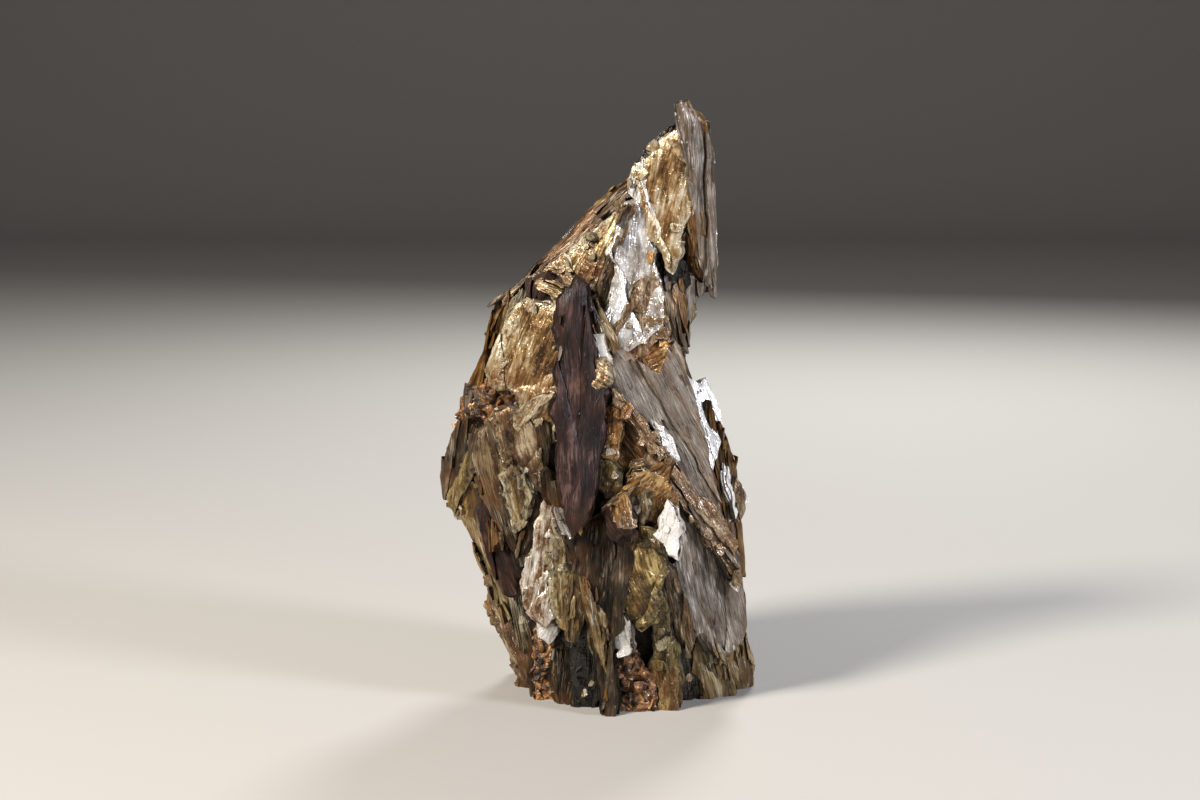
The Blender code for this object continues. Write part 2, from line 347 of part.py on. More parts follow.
def core_section(height):
    """The core's middle x and y, half width and half depth at a height."""
    for low, high in zip(CORE, CORE[1:]):
        if height <= high[0]:
            break
    share = min(1.0, max(0.0, (height - low[0]) / (high[0] - low[0])))
    return [a + (b - a) * share for a, b in zip(low[1:], high[1:])]


def core_depth(azimuth, across, height):
    """Where the core's surface lies, seen level from a side; less is nearer."""
    mid_x, mid_y, half_x, half_y = core_section(height)
    turn = math.radians(azimuth)
    right = Vector((math.cos(turn), math.sin(turn)))
    away = Vector((-math.sin(turn), math.cos(turn)))
    tried = []
    for step in range(SIDES_SAMPLED):
        angle = 2 * math.pi * step / SIDES_SAMPLED
        spoke = Vector((half_x * math.cos(angle), half_y * math.sin(angle)))
        point = Vector((mid_x, mid_y)) + spoke
        if spoke.dot(away) <= 0:
            tried.append((abs(point.dot(right) - across), point.dot(away)))
    return min(tried)[1]


def blade_outline(across, height, width, length, lean, seed):
    """One of the broken shapes at a size, with its corners moved a little."""
    dice = random.Random(seed)
    angle = math.radians(lean)
    corners = []
    for x, z in SHAPES[seed % len(SHAPES)]:
        x = (x + dice.uniform(-0.1, 0.1)) * width
        z = (z + dice.uniform(-0.06, 0.06)) * length
        corners.append((across + x * math.cos(angle) + z * math.sin(angle),
                        height + z * math.cos(angle) - x * math.sin(angle)))
    return corners


def sight_line(x, height):
    """The eye, and the direction from it to a place in the view from the front."""
    tilt = math.radians(EYE_TILT)
    along = Vector((0, math.cos(tilt), -math.sin(tilt)))
    up = Vector((0, math.sin(tilt), math.cos(tilt)))
    aim = Vector((0, 0, EYE_AIM))
    eye = aim - along * EYE_DISTANCE
    seen = aim + Vector((x, 0, 0)) + up * (height - EYE_AIM * math.cos(tilt))
    return eye, seen - eye


def lay_out(outline, azimuth, proud, turn, pitch):
    """Carry an outline along the lines of sight on to the book's own plane. Gives the corners
    and the plane's outward normal, in the specimen's frame, in millimetres."""
    mid_x = sum(x for x, _ in outline) / len(outline)
    mid_height = sum(height for _, height in outline) / len(outline)
    turned, raised = math.radians(turn), math.radians(pitch)
    normal = Vector((math.sin(turned) * math.cos(raised),
                     -math.cos(turned) * math.cos(raised), math.sin(raised)))
    front = core_depth(azimuth, mid_x, mid_height) - proud
    eye, sight = sight_line(mid_x, mid_height)
    middle = eye + sight * ((front - eye.y) / sight.y)
    corners = []
    for x, height in outline:
        eye, sight = sight_line(x, height)
        corners.append(eye + sight * ((middle - eye).dot(normal) / sight.dot(normal)))
    spin = Matrix.Rotation(math.radians(azimuth), 3, "Z")
    return [spin @ corner for corner in corners], spin @ normal


def new_object(name, mesh, group, material):
    data = bpy.data.meshes.new(name)
    bmesh.ops.recalc_face_normals(mesh, faces=mesh.faces)
    mesh.to_mesh(data)
    mesh.free()
    made = bpy.data.objects.new(name, data)
    made.data.materials.append(material)
    group.objects.link(made)
    return made


def draw_out(verts, distance):
    """Move the corners of a flat ring straight away from its middle."""
    centre = sum((vert.co for vert in verts), Vector()) / len(verts)
    for vert in verts:
        vert.co += (vert.co - centre).normalized() * distance * UNIT


def make_book(name, corners, normal, thick, crown, group, material):
    """A book of sheets: a flat or crowned face, a rim that steps out once, and a deep root."""
    middle = sum(corners, Vector()) / len(corners)
    reach = sum((corner - middle).length for corner in corners) / len(corners)
    stepped = reach > LEDGE_FROM
    steps = [(LEDGE_DROP, 0.0), (0.0, LEDGE_OUT), (thick, -ROOT_IN)] if stepped else \
        [(thick, -ROOT_IN)]
    mesh = bmesh.new()
    face = mesh.faces.new([mesh.verts.new(corner * UNIT) for corner in corners])
    edges = list(face.edges)
    if stepped:
        draw_out(face.verts, -LEDGE_OUT)
    for drop, out in steps:
        made = bmesh.ops.extrude_edge_only(mesh, edges=edges)["geom"]
        rim = [part for part in made if isinstance(part, bmesh.types.BMVert)]
        edges = [part for part in made if isinstance(part, bmesh.types.BMEdge)
                 and all(vert in rim for vert in part.verts)]
        draw_out(rim, out)
        bmesh.ops.translate(mesh, verts=rim, vec=-normal * drop * UNIT)
    bmesh.ops.contextual_create(mesh, geom=edges)
    if crown:
        peak = bmesh.ops.poke(mesh, faces=[face])["verts"]
        bmesh.ops.translate(mesh, verts=peak, vec=normal * crown * UNIT)
    return new_object(name, mesh, group, material)


def make_core(name, group, material):
    """The core: uneven rings, bridged from the base to the tip."""
    dice = random.Random(3)
    mesh = bmesh.new()
    edges = []
    for height, mid_x, mid_y, half_x, half_y in CORE:
        ring = bmesh.ops.create_circle(mesh, segments=CORE_SIDES, radius=1.0)["verts"]
        for vert in ring:
            swell = dice.uniform(*CORE_SWELL)
            vert.co = Vector((mid_x + vert.co.x * half_x * swell,
                              mid_y + vert.co.y * half_y * swell, height)) * UNIT
        edges.append(list(dict.fromkeys(edge for vert in ring for edge in vert.link_edges)))
    for low, high in zip(edges, edges[1:]):
        bmesh.ops.bridge_loops(mesh, edges=low + high)
    for end in (edges[0], edges[-1]):
        bmesh.ops.contextual_create(mesh, geom=end)
    bmesh.ops.triangulate(mesh, faces=mesh.faces)
    return new_object(name, mesh, group, material)


def boolean(target, name, operation, cutter):
    """Combine the target with a cutter, an object or a whole collection, and apply it.
    The solver is MANIFOLD, because EXACT loses the solid where this many books cross."""
    modifier = target.modifiers.new(name, "BOOLEAN")
    modifier.operation = operation
    modifier.solver = "MANIFOLD"
    if isinstance(cutter, bpy.types.Collection):
        modifier.operand_type = "COLLECTION"
        modifier.collection = cutter
    else:
        modifier.object = cutter
    bpy.context.view_layer.objects.active = target
    target.select_set(True)
    bpy.ops.object.modifier_apply(modifier=name)
    target.select_set(False)


def shells(mesh):
    """The mesh's faces in connected groups, the largest group first."""
    left = set(mesh.faces)
    groups = []
    while left:
        group = [left.pop()]
        for face in group:
            for edge in face.edges:
                for other in edge.link_faces:
                    if other in left:
                        left.remove(other)
                        group.append(other)
        groups.append(group)
    return sorted(groups, key=len, reverse=True)


def clean_up(target):
    """Fill the small hollows shut in between books, whose walls are the lesser shells, and
    part all faces into triangles."""
    mesh = bmesh.new()
    mesh.from_mesh(target.data)
    for group in shells(mesh)[1:]:
        walls = {edge for face in group for edge in face.edges}
        bmesh.ops.delete(mesh, geom=list(walls), context="EDGES")
    bmesh.ops.triangulate(mesh, faces=mesh.faces)
    mesh.to_mesh(target.data)
    mesh.free()


def make_material():
    material = bpy.data.materials.new("mica")
    material.use_nodes = True
    shader = material.node_tree.nodes["Principled BSDF"]
    shader.inputs["Base Color"].default_value = (0.20, 0.15, 0.11, 1.0)
    shader.inputs["Roughness"].default_value = 0.45
    shader.inputs["Metallic"].default_value = 0.0
    return material


def new_collection(name):
    made = bpy.data.collections.new(name)
    bpy.context.scene.collection.children.link(made)
    return made


def make_books(group, material):
    for name, place, outline in FRONT:
        corners, normal = lay_out(outline, 0.0, place["proud"], place["turn"],
                                  place.get("pitch", 0.0))
        make_book(name, corners, normal, place["thick"], place.get("crown", 0.0), group,
                  material)
    for number, row in enumerate(ROUND):
        azimuth, across, height, width, length, lean, proud, turn, pitch, thick = row
        outline = blade_outline(across, height, width, length, lean, number)
        corners, normal = lay_out(outline, azimuth, proud, turn, pitch)
        make_book(f"round_{number:02d}", corners, normal, thick, 0.0, group, material)


def make_ground(group):
    """The block under the base plane."""
    mesh = bmesh.new()
    bmesh.ops.create_cube(mesh, size=1.0)
    bmesh.ops.scale(mesh, verts=mesh.verts, vec=Vector(GROUND) * UNIT)
    bmesh.ops.translate(mesh, verts=mesh.verts, vec=(0, 0, -GROUND[2] / 2 * UNIT))
    data = bpy.data.meshes.new("ground")
    mesh.to_mesh(data)
    mesh.free()
    ground = bpy.data.objects.new("ground", data)
    ground.hide_render = True
    ground.display_type = "WIRE"
    group.objects.link(ground)
    return ground


def bounds(thing):
    """The lowest and the highest corner of a thing's box."""
    points = [vert.co for vert in thing.data.vertices]
    return [Vector([pick(point[axis] for point in points) for axis in range(3)])
            for pick in (min, max)]


def centre_over_origin(thing):
    """Put the middle of the box over the origin, with the base at height zero."""
    low, high = bounds(thing)
    middle = (low + high) / 2
    middle.z = low.z
    thing.data.transform(Matrix.Translation(-middle))
    return middle


def main():
    clear_scene()
    parts = new_collection("mica_crystal")
    books = new_collection("books")
    cutters = new_collection("cutters")
    mica = make_material()
    crystal = make_core("mica_crystal", parts, mica)
    make_books(books, mica)
    boolean(crystal, "grow_together", "UNION", books)
    for book in list(books.objects):
        bpy.data.objects.remove(book)
    bpy.data.collections.remove(books)
    boolean(crystal, "cut_flat", "DIFFERENCE", make_ground(cutters))
    clean_up(crystal)
    shift = centre_over_origin(crystal)
    low, high = bounds(crystal)
    print("table origin at", [round(-value / UNIT, 2) for value in shift])
    print("size in mm", [round(value * 1000, 2) for value in high - low])
    print("triangles", len(crystal.data.polygons))


main()
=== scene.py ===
# %% [markdown]
# # A standing mica crystal specimen
#
# Mica grows in books: stacks of sheets so thin that a pen knife lifts them off one by one. Seen
# flat on, a book's face is a mirror, silver or golden, a little crinkled. Seen from the side the
# same book looks like old wood, brown and grey with fine lines, because there we look at the
# edges of thousands of sheets. This specimen is dozens of such books grown into each other.
#
# The lesson builds every book as a closed slab with a broken rim and a grained face, grows them
# all together with one Boolean, and gives each face the finish of its own kind of mica.

# %% Load the frame
import bmesh
import bpy
import json
import math
import random
import numpy as np
from mathutils import Matrix, Vector
from mathutils.bvhtree import BVHTree
from mathutils.geometry import delaunay_2d_cdt

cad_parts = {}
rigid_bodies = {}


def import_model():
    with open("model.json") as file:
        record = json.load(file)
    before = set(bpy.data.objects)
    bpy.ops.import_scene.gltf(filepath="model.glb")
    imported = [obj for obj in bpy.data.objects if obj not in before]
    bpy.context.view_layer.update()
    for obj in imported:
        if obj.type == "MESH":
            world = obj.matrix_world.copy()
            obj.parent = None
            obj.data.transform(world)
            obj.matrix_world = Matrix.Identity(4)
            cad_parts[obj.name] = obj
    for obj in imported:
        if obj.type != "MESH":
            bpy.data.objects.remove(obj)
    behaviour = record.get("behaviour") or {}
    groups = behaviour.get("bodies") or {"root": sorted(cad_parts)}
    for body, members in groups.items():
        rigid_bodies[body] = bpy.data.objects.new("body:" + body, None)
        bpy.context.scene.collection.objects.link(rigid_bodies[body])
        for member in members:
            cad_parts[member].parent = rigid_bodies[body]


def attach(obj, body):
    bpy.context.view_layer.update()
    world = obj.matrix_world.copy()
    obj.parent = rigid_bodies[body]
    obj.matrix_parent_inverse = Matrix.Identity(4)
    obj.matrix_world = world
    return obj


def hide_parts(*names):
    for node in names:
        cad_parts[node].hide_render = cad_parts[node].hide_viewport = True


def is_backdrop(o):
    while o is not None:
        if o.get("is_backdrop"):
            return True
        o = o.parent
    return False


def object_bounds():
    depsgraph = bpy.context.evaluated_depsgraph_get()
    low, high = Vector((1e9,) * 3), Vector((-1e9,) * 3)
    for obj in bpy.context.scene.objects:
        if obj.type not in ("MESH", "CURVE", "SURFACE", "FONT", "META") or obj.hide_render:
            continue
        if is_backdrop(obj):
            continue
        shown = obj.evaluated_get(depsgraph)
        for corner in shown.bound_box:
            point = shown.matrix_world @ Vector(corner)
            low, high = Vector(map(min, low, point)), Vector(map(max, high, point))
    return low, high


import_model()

cad_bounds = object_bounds()
print("frame", [[round(value, 4) for value in corner] for corner in cad_bounds])

# %% [markdown]
# ## Units and the place of the tables
#
# The tables below are in table units. The specimen is TABLE_HEIGHT of them tall, so at its real
# size a unit is a millimetre. The finished solid stands with the middle of its box over the
# origin, and the tables' own origin is a millimetre or so beside it.

# %% Units
TABLE_HEIGHT = 147.3
TABLE_ORIGIN = Vector((0.11, -1.17, 0.0))
UNIT = round((cad_bounds[1][2] - cad_bounds[0][2]) / TABLE_HEIGHT, 5)
BASE_DROP = 6.0
print("a table unit is", UNIT, "m")

# %% [markdown]
# ## The camera
#
# A long lens from a little above level keeps the specimen's upright lines upright. The books on
# the front are laid out along the lines of sight of this same camera, so it comes first.

# %% Camera
EYE_DISTANCE = 583.0
EYE_TILT = 8.0
EYE_AIM = 72.7
LENS = 70.0
SENSOR = 36.0


def sight_frame():
    """The direction that the eye looks in, the view's up, the point aimed at and the eye."""
    tilt = math.radians(EYE_TILT)
    along = Vector((0, math.cos(tilt), -math.sin(tilt)))
    up = Vector((0, math.sin(tilt), math.cos(tilt)))
    aim = Vector((0, 0, EYE_AIM))
    return along, up, aim, aim - along * EYE_DISTANCE


def add_camera():
    along, _, _, eye = sight_frame()
    bpy.ops.object.camera_add(location=(eye + TABLE_ORIGIN) * UNIT)
    camera = bpy.context.object
    camera.name = "camera"
    camera.rotation_euler = along.to_track_quat("-Z", "Y").to_euler()
    camera.data.lens = LENS
    camera.data.sensor_width = SENSOR
    camera.data.clip_start = 0.01
    bpy.context.scene.camera = camera


add_camera()
print("camera", [round(value, 3) for value in bpy.context.scene.camera.location])

# %% [markdown]
# ## The core
#
# The books root in a core, a tapering body of dark, close-grown mica that shows only in the
# hollows between them. Each row of the table is one section of it.

# %% Core table: height, middle x, middle y, half width, half depth
CORE = [
    (-BASE_DROP, 8.5, 1.0, 23.0, 19.0),
    (12.0, 6.5, 1.0, 25.0, 21.0),
    (30.0, 2.5, 1.0, 28.0, 22.0),
    (50.0, -1.5, 1.0, 29.5, 22.0),
    (66.0, -3.0, 1.5, 27.0, 20.5),
    (82.0, -2.5, 2.0, 23.0, 18.0),
    (97.0, 2.5, 2.5, 20.0, 15.0),
    (112.0, 11.0, 2.5, 15.0, 11.5),
    (126.0, 18.0, 2.0, 8.8, 8.5),
    (138.0, 20.5, 1.5, 5.0, 5.0),
    (143.0, 21.0, 1.0, 0.3, 0.3),
]
print(len(CORE), "core sections")

# %% [markdown]
# ## The books on the front
#
# Each row is one book: its name, its finish, the lean of its grain in degrees (to the right is
# positive), how it is placed, and its outline as (x, height) seen by the camera. proud is how far
# its middle stands out of the core, turn how far its face looks to the right and pitch how far it
# looks up, thick how deep the book goes, and crown how far its middle swells. Where a row gives
# them, rough says how torn the rim is, litter how many flakes lie on the face to the square
# centimetre, light on which side it is palest (a slope of colour, partly stain and partly painted
# sheen), and alone that it doesn't run on under others.

# %% The summit: a tall blade seen nearly edge on, and the shell of sheets beside it
FRONT = [
    ("summit_blade", "taupe", -8, dict(proud=8.5, turn=38, thick=2.6, litter=0.0), [
        (21, 147), (24.5, 142.5), (27, 138), (28.3, 133), (28.5, 122), (28.5, 112), (29.2, 106),
        (29, 101.5), (27.3, 99.5), (26.5, 104.5), (25.7, 109.5), (24.7, 115.7), (23.7, 122),
        (22.8, 128.3), (22.3, 133.3), (21.3, 138.3), (20.2, 142.5), (19.7, 146)]),
    ("blade_lining", "rust_edge", -9, dict(proud=6.0, turn=32, thick=4.0), [
        (21.5, 130), (23.4, 130), (24, 122), (25.2, 114), (26.4, 106.5), (26.3, 101.5),
        (24.3, 105.5), (22.5, 111), (21.5, 117.5)]),
    ("summit_tip", "tan", -14, dict(proud=6.5, turn=-18, pitch=-4, thick=4.0), [
        (19.5, 146.3), (21, 147), (22.5, 144), (23.5, 141), (24, 136.5), (22.5, 134), (21, 136),
        (19.3, 141.5)]),
    ("golden_shell", "pale_gold", 10,
     dict(proud=4.0, turn=-10, pitch=4, thick=7.0, crown=1.2, litter=0.5), [
        (20.7, 139), (18, 138.3), (15, 136.5), (12.7, 133.3), (11.5, 130), (11.5, 125.7),
        (12.5, 120.7), (14, 115.7), (15, 110.7), (16.3, 106), (17.7, 104.5), (19.5, 108.3),
        (21, 113.3), (22, 118.3), (22.7, 124.5), (23, 130.7), (22.5, 135.7)]),
    ("shell_rim", "black", 12, dict(proud=1.8, turn=-14, pitch=6, thick=8.0), [
        (23, 141), (19, 140.5), (15, 138.3), (12.2, 135.3), (10.3, 132), (9.8, 127), (11, 121),
        (13, 115), (17, 112), (21, 118), (23, 130)]),
    ("silver_curl", "zebra", 18, dict(proud=4.2, turn=-22, pitch=5, thick=7.0), [
        (10.5, 132.5), (9, 130), (7.3, 127.5), (7.3, 124.5), (8.5, 122), (10.5, 119),
        (11.7, 115), (13, 110.7), (14, 107.5), (14.3, 112), (13.5, 117), (12.3, 121.3),
        (11.5, 125), (11.3, 129.5)]),
    ("long_ridge", "brown", 48, dict(proud=4.6, turn=-12, pitch=8, thick=15.0, litter=2), [
        (8.5, 127.5), (3, 123.5), (0, 120.7), (-4.3, 117.3), (-8.7, 113), (-13.7, 108),
        (-18.7, 103), (-23, 99), (-25.3, 97.5), (-24.5, 95.3), (-21.3, 97.3), (-16.3, 101.3),
        (-12, 105), (-7.5, 109.2), (-2.5, 114.4), (1.7, 118.3), (6.3, 122.3), (8.5, 124.8)]),
    ("ridge_flake", "tan", 46, dict(proud=0.5, turn=-12, pitch=8, thick=9.0), [
        (7, 127.2), (3, 124.9), (-0.8, 121.8), (-2.9, 119.2), (-3.2, 116.5), (0, 118.5),
        (5, 123)]),
    ("ridge_lower_flake", "black", 48, dict(proud=-1.0, turn=-12, pitch=8, thick=9.0), [
        (-5.3, 116.9), (-9, 113.6), (-10.6, 110), (-7, 111)]),
    ("upper_gold", "gold", 22, dict(proud=1.6, turn=-16, pitch=10, thick=7.0), [
        (6.7, 121), (4, 119.5), (0, 116), (-4.3, 111.5), (-8.5, 107), (-11, 103), (-10, 98),
        (-6.3, 95), (-0.5, 95), (2.5, 103), (4.5, 110.7), (6.3, 117)]),
    ("gold_fan", "pale_gold", -38, dict(proud=3.2, turn=-24, pitch=6, thick=8.0), [
        (-9.5, 107.8), (-13.7, 105), (-16.5, 102.3), (-13.7, 100.5), (-10.5, 98), (-7, 96.5),
        (-5.8, 100.7), (-7, 105)]),
    ("brown_wedge", "brown", 15, dict(proud=4.2, turn=-6, pitch=9, thick=7.0), [
        (6.5, 121.5), (7.7, 121), (6.5, 114.5), (4.9, 107.5), (3.7, 100.7), (2.9, 94.5),
        (1.5, 90), (-0.5, 92.5), (-1, 97), (0.5, 103.3), (2.5, 109.5), (4.5, 115.7)]),
    ("silver_wall", "silver", 8, dict(proud=3.4, turn=4, pitch=10, thick=9.0, litter=0.4), [
        (8.5, 122), (10.7, 119.5), (12.5, 115.7), (13.5, 110.7), (13.7, 105.7), (15, 100.7),
        (16, 94.5), (15.5, 89.5), (12.5, 86), (8, 84.5), (4.5, 85), (3, 90.7), (2.3, 95.7),
        (3, 102), (4.7, 108.3), (6.7, 115)]),
    ("stained_foot", "stained", 4, dict(proud=4.6, turn=10, pitch=4, thick=8.0), [
        (9.5, 102), (13.7, 104), (15.9, 97), (16.2, 89.5), (12.5, 85), (6.3, 83.5), (4, 86.5),
        (5, 92.5), (7.5, 97)]),
    # hollow_lobe: a black book set in a deep hollow, partly black mica and partly painted shade
    ("hollow_lobe", "black", 0, dict(proud=0.6, turn=14, pitch=-4, thick=7.0, litter=4), [
        (18.5, 107.5), (21.5, 106), (23, 101.5), (20.5, 98.5), (17.8, 100), (16.5, 104.5)]),
    ("strip_left", "brown", -10, dict(proud=4.0, turn=20, pitch=6, thick=8.0), [
        (14.3, 106.5), (16.3, 102), (18.3, 99), (19.5, 93.3), (20.9, 87.5), (21.6, 83.5),
        (20, 83), (18, 87), (16, 93), (14.5, 99.5)]),
    ("strip_middle", "rust_edge", -8, dict(proud=3.4, turn=30, pitch=6, thick=8.0), [
        (18.5, 100.5), (20.5, 101.8), (21.3, 97), (21.5, 90.7), (21.2, 85.7), (20.6, 83.5),
        (19.4, 90.7), (18.4, 95.7)]),
    ("strip_right", "taupe", -8, dict(proud=4.4, turn=42, pitch=4, thick=7.0), [
        (21.3, 102.5), (24.3, 104), (26.3, 102.5), (27.5, 100), (25.5, 97.8), (24.2, 95),
        (23.2, 91.5), (22, 87), (21.2, 83.5), (20.8, 87), (20.6, 94.5)]),
    ("strip_knob", "tan", -5, dict(proud=4.6, turn=30, thick=5.0), [
        (22.6, 96.5), (24.2, 95.3), (24, 92.5), (22.6, 90.4), (21.6, 93)]),
]
print(len(FRONT), "books so far")

# %% The shoulder: a golden plate on the left, the purple blade, the grey sheet on the right
FRONT += [
    ("red_cap", "purple", 12, dict(proud=4.4, turn=-16, pitch=10, thick=8.0, litter=4), [
        (-18.5, 102), (-14.7, 103), (-12, 100.5), (-9.3, 97), (-11, 92.5), (-14.5, 93.5),
        (-18.5, 95.5)]),
    ("pale_crest", "tan", -60, dict(proud=5.6, turn=-14, pitch=24, thick=6.0), [
        (-15.5, 103), (-12.5, 102.5), (-9.3, 99.8), (-7.3, 101), (-7.8, 97.7), (-10, 96.3),
        (-12.5, 98.6), (-15, 100.6)]),
    ("left_gold", "pale_gold", 25,
     dict(proud=4.6, turn=-24, pitch=6, thick=9.0, crown=0.9, litter=0.8, light=-110), [
        (-18.5, 97), (-15, 95.8), (-11.3, 94.3), (-10.5, 88.3), (-10.7, 80.7), (-11, 74),
        (-13.3, 71.8), (-15.5, 69.5), (-18, 70.3), (-20.5, 72.7), (-23, 74.7), (-25.7, 74.4),
        (-28, 76.2), (-28.5, 80.5), (-27, 84.3), (-24.3, 89.3), (-21.5, 94)]),
    ("gold_tooth", "pale_gold", 30, dict(proud=4.2, turn=-10, pitch=-6, thick=9.0), [
        (-19, 70.5), (-16.3, 72.5), (-13, 74), (-10.8, 73.5), (-9.7, 70), (-9.5, 66.5),
        (-11.4, 63.3), (-14, 62.2), (-17, 63.4), (-19.3, 66.5)]),
    ("left_strip", "rust_edge", 20, dict(proud=1.4, turn=-48, pitch=8, thick=9.0, litter=4), [
        (-25.5, 97.8), (-23, 98.5), (-20, 97), (-21.5, 93), (-24.5, 88), (-27, 83.5),
        (-28, 79), (-29, 74.5), (-32, 73), (-32.5, 75.5), (-30.5, 80), (-28.3, 84.5),
        (-27.5, 90.7)]),
    ("purple_blade", "purple", 0,
     dict(proud=8.6, turn=-3, pitch=9, thick=13.0, crown=0.8, litter=1.2, rough=1.7), [
        (-9.3, 99.5), (-6.5, 101), (-4.2, 99.5), (-2.9, 95.5), (-2.2, 90), (-1.4, 85), (-1.2, 80.7),
        (-0.2, 77), (1.3, 73), (1.6, 68.7), (0.6, 63), (0.2, 57), (-0.4, 50.7), (-2.2, 44.5), (-4.3, 40),
        (-6.5, 36.3), (-8.3, 40.7), (-9.5, 49), (-10.7, 58.3), (-11.3, 67), (-10.9, 77),
        (-10.9, 87), (-10.3, 95)]),
    ("feathered_splinter", "tan", -22, dict(proud=6.0, turn=8, pitch=14, thick=8.0), [
        (-1, 97.3), (1, 95), (3, 91.5), (4.3, 87.5), (3.9, 84), (1.7, 86.5), (-0.3, 91.5)]),
    ("pink_bead", "white", -8, dict(proud=8.2, turn=6, pitch=4, thick=9.0), [
        (-0.9, 89), (0.7, 88.3), (1.5, 85), (0.9, 82), (-0.6, 82.4), (-1.5, 86)]),
    ("banded_rib", "pale_gold", -62, dict(proud=8.8, turn=2, thick=10.0, crown=3.0, litter=0.0), [
        (-0.9, 82.4), (1.2, 82.6), (2.7, 80.3), (3.2, 77.3), (2.2, 75), (0.5, 74.4), (-0.9, 77),
        (-1.6, 80)]),
    ("amber_cluster", "amber", 60, dict(proud=5.0, turn=10, pitch=16, thick=9.0, litter=5), [
        (6.5, 84.8), (10, 88), (13.7, 88.8), (17.2, 87.3), (17.2, 83), (15.5, 78.5), (12, 79.5),
        (8.5, 81.8)]),
    ("grey_sheet", "grey", -28, dict(proud=7.6, turn=20, pitch=8, thick=12.0, litter=0.5), [
        (3, 85.7), (5.5, 84.7), (9, 82.7), (12.5, 80.2), (15, 79.2), (16.7, 84), (18.7, 87.5),
        (20.5, 84), (21.4, 79), (22.9, 74.5), (24.7, 68.3), (26.7, 60.7), (28.7, 52),
        (30.7, 44.5), (33, 37), (35, 30.7), (32.7, 32.6), (29, 39), (25, 45.2), (21, 52),
        (16.3, 59), (11.3, 65.2), (7, 69.5), (3.7, 72.6), (3, 78.3)]),
    ("grey_sheet_rim", "stained", -38, dict(proud=9.0, turn=14, pitch=6, thick=10.0, litter=5), [
        (3.3, 74.3), (7, 70.7), (11.3, 66.5), (15.7, 60.2), (20, 54.2), (19, 52), (16, 54.8),
        (13.7, 56.8), (10.5, 62.4), (6.5, 67.5), (3.3, 70.8)]),
    ("white_lens", "white", -34, dict(proud=9.4, turn=30, pitch=8, thick=3.5), [
        (14, 66.7), (15.9, 64.7), (18, 61), (19.8, 56.6), (17.8, 58.6), (15.3, 62.3)]),
    ("white_plate", "white", -14, dict(proud=3.3, turn=44, pitch=24, thick=8.0, litter=0.3), [
        (20.7, 78), (23, 76.5), (24.5, 75.7), (26.5, 76.7), (27.8, 74.5), (29.1, 71.5),
        (30.1, 67.5), (30.3, 63), (29.5, 59), (27.7, 55), (25, 56), (23, 63), (21, 70)]),
    ("right_strip", "rust_edge", -10, dict(proud=1.2, turn=56, pitch=4, thick=4.0, alone=True), [
        (29, 70.7), (30.4, 65.7), (32, 61.5), (33.7, 56.5), (34.5, 49.5), (34.9, 42),
        (35.7, 34.5), (36.2, 28.3), (34.5, 24), (32.5, 31), (30.5, 40), (28.7, 49.5),
        (28.0, 56.5), (29.4, 61.5)]),
    ("white_sliver", "white", -8, dict(proud=5.2, turn=50, pitch=10, thick=6.0, litter=0.0), [
        (31.4, 55.5), (33, 52.7), (34.1, 48.3), (34.7, 44), (33.7, 41.5), (32.3, 47),
        (31.3, 51.5)]),
    ("tan_knob", "stained", 0, dict(proud=4.6, turn=46, thick=8.0, crown=1.0), [
        (34.2, 52.5), (35.8, 51.2), (36.6, 48.3), (36.3, 45), (34.9, 42), (33.8, 45.7),
        (33.6, 49.5)]),
]
print(len(FRONT), "books so far")

# %% The pocket under the grey sheet
FRONT += [
    ("amber_plate", "amber", 6, dict(proud=6.6, turn=-12, pitch=4, thick=9.0, litter=5), [
        (0.6, 65), (1.4, 68.5), (3.3, 70.7), (5, 70), (5.3, 65.7), (4.6, 60.7), (3.2, 57.3),
        (1.2, 58.8), (0.4, 62)]),
    ("olive_plate", "olive", 0, dict(proud=5.4, turn=-8, pitch=-4, thick=9.0), [
        (0.7, 55.2), (3, 56.2), (5, 53.3), (5, 49.3), (3, 47), (0.5, 48.5)]),
    ("rust_pocket", "rust_edge", -36, dict(proud=3.6, turn=6, pitch=4, thick=9.0, litter=6), [
        (5, 70), (8.2, 67), (11.5, 62.5), (14.5, 57.5), (12.2, 54.8), (8.6, 51.8), (5.3, 49),
        (4.3, 55.7), (4.7, 62)]),
    ("arch_rib", "rust_edge", 50, dict(proud=9.2, turn=2, pitch=26, thick=10.0), [
        (2.5, 46.2), (5.3, 49.5), (8.5, 52.7), (11.7, 55.8), (15, 57.3), (18.2, 56.3),
        (17.3, 53.2), (13.7, 54), (10.7, 52.4), (7.5, 49.2), (4.5, 45.8)]),
    ("rust_roof", "amber", 40, dict(proud=8.0, turn=4, pitch=-24, thick=9.0), [
        (8.7, 52.7), (12, 53.9), (15, 53), (17.2, 51), (18.2, 47), (16, 47.8), (13, 50),
        (10, 50.3), (8.2, 50)]),
    ("lower_rim", "stained", -34, dict(proud=8.8, turn=24, pitch=6, thick=11.0, litter=5), [
        (15.3, 57.8), (20, 54.7), (25, 47.2), (30, 38.6), (34.7, 29.5), (34, 25.8), (30.5, 31.3),
        (26.3, 37.5), (22.5, 43.3), (18.5, 48.8), (15.7, 53.5)]),
    ("tan_flake", "pale_gold", 4, dict(proud=6.2, turn=-14, pitch=2, thick=8.0), [
        (7.8, 49.3), (10, 51), (11.6, 50.3), (12, 45.7), (11, 41.5), (9, 39.8), (7.2, 42.7),
        (7.2, 46.5)]),
    ("olive_flake", "olive", 12, dict(proud=6.6, turn=14, pitch=-4, thick=8.0), [
        (11.7, 50.4), (14.3, 49.5), (16.3, 47.2), (16.4, 44), (14.5, 40.5), (12.3, 41.3),
        (11.4, 45.7)]),
]
print(len(FRONT), "books so far")

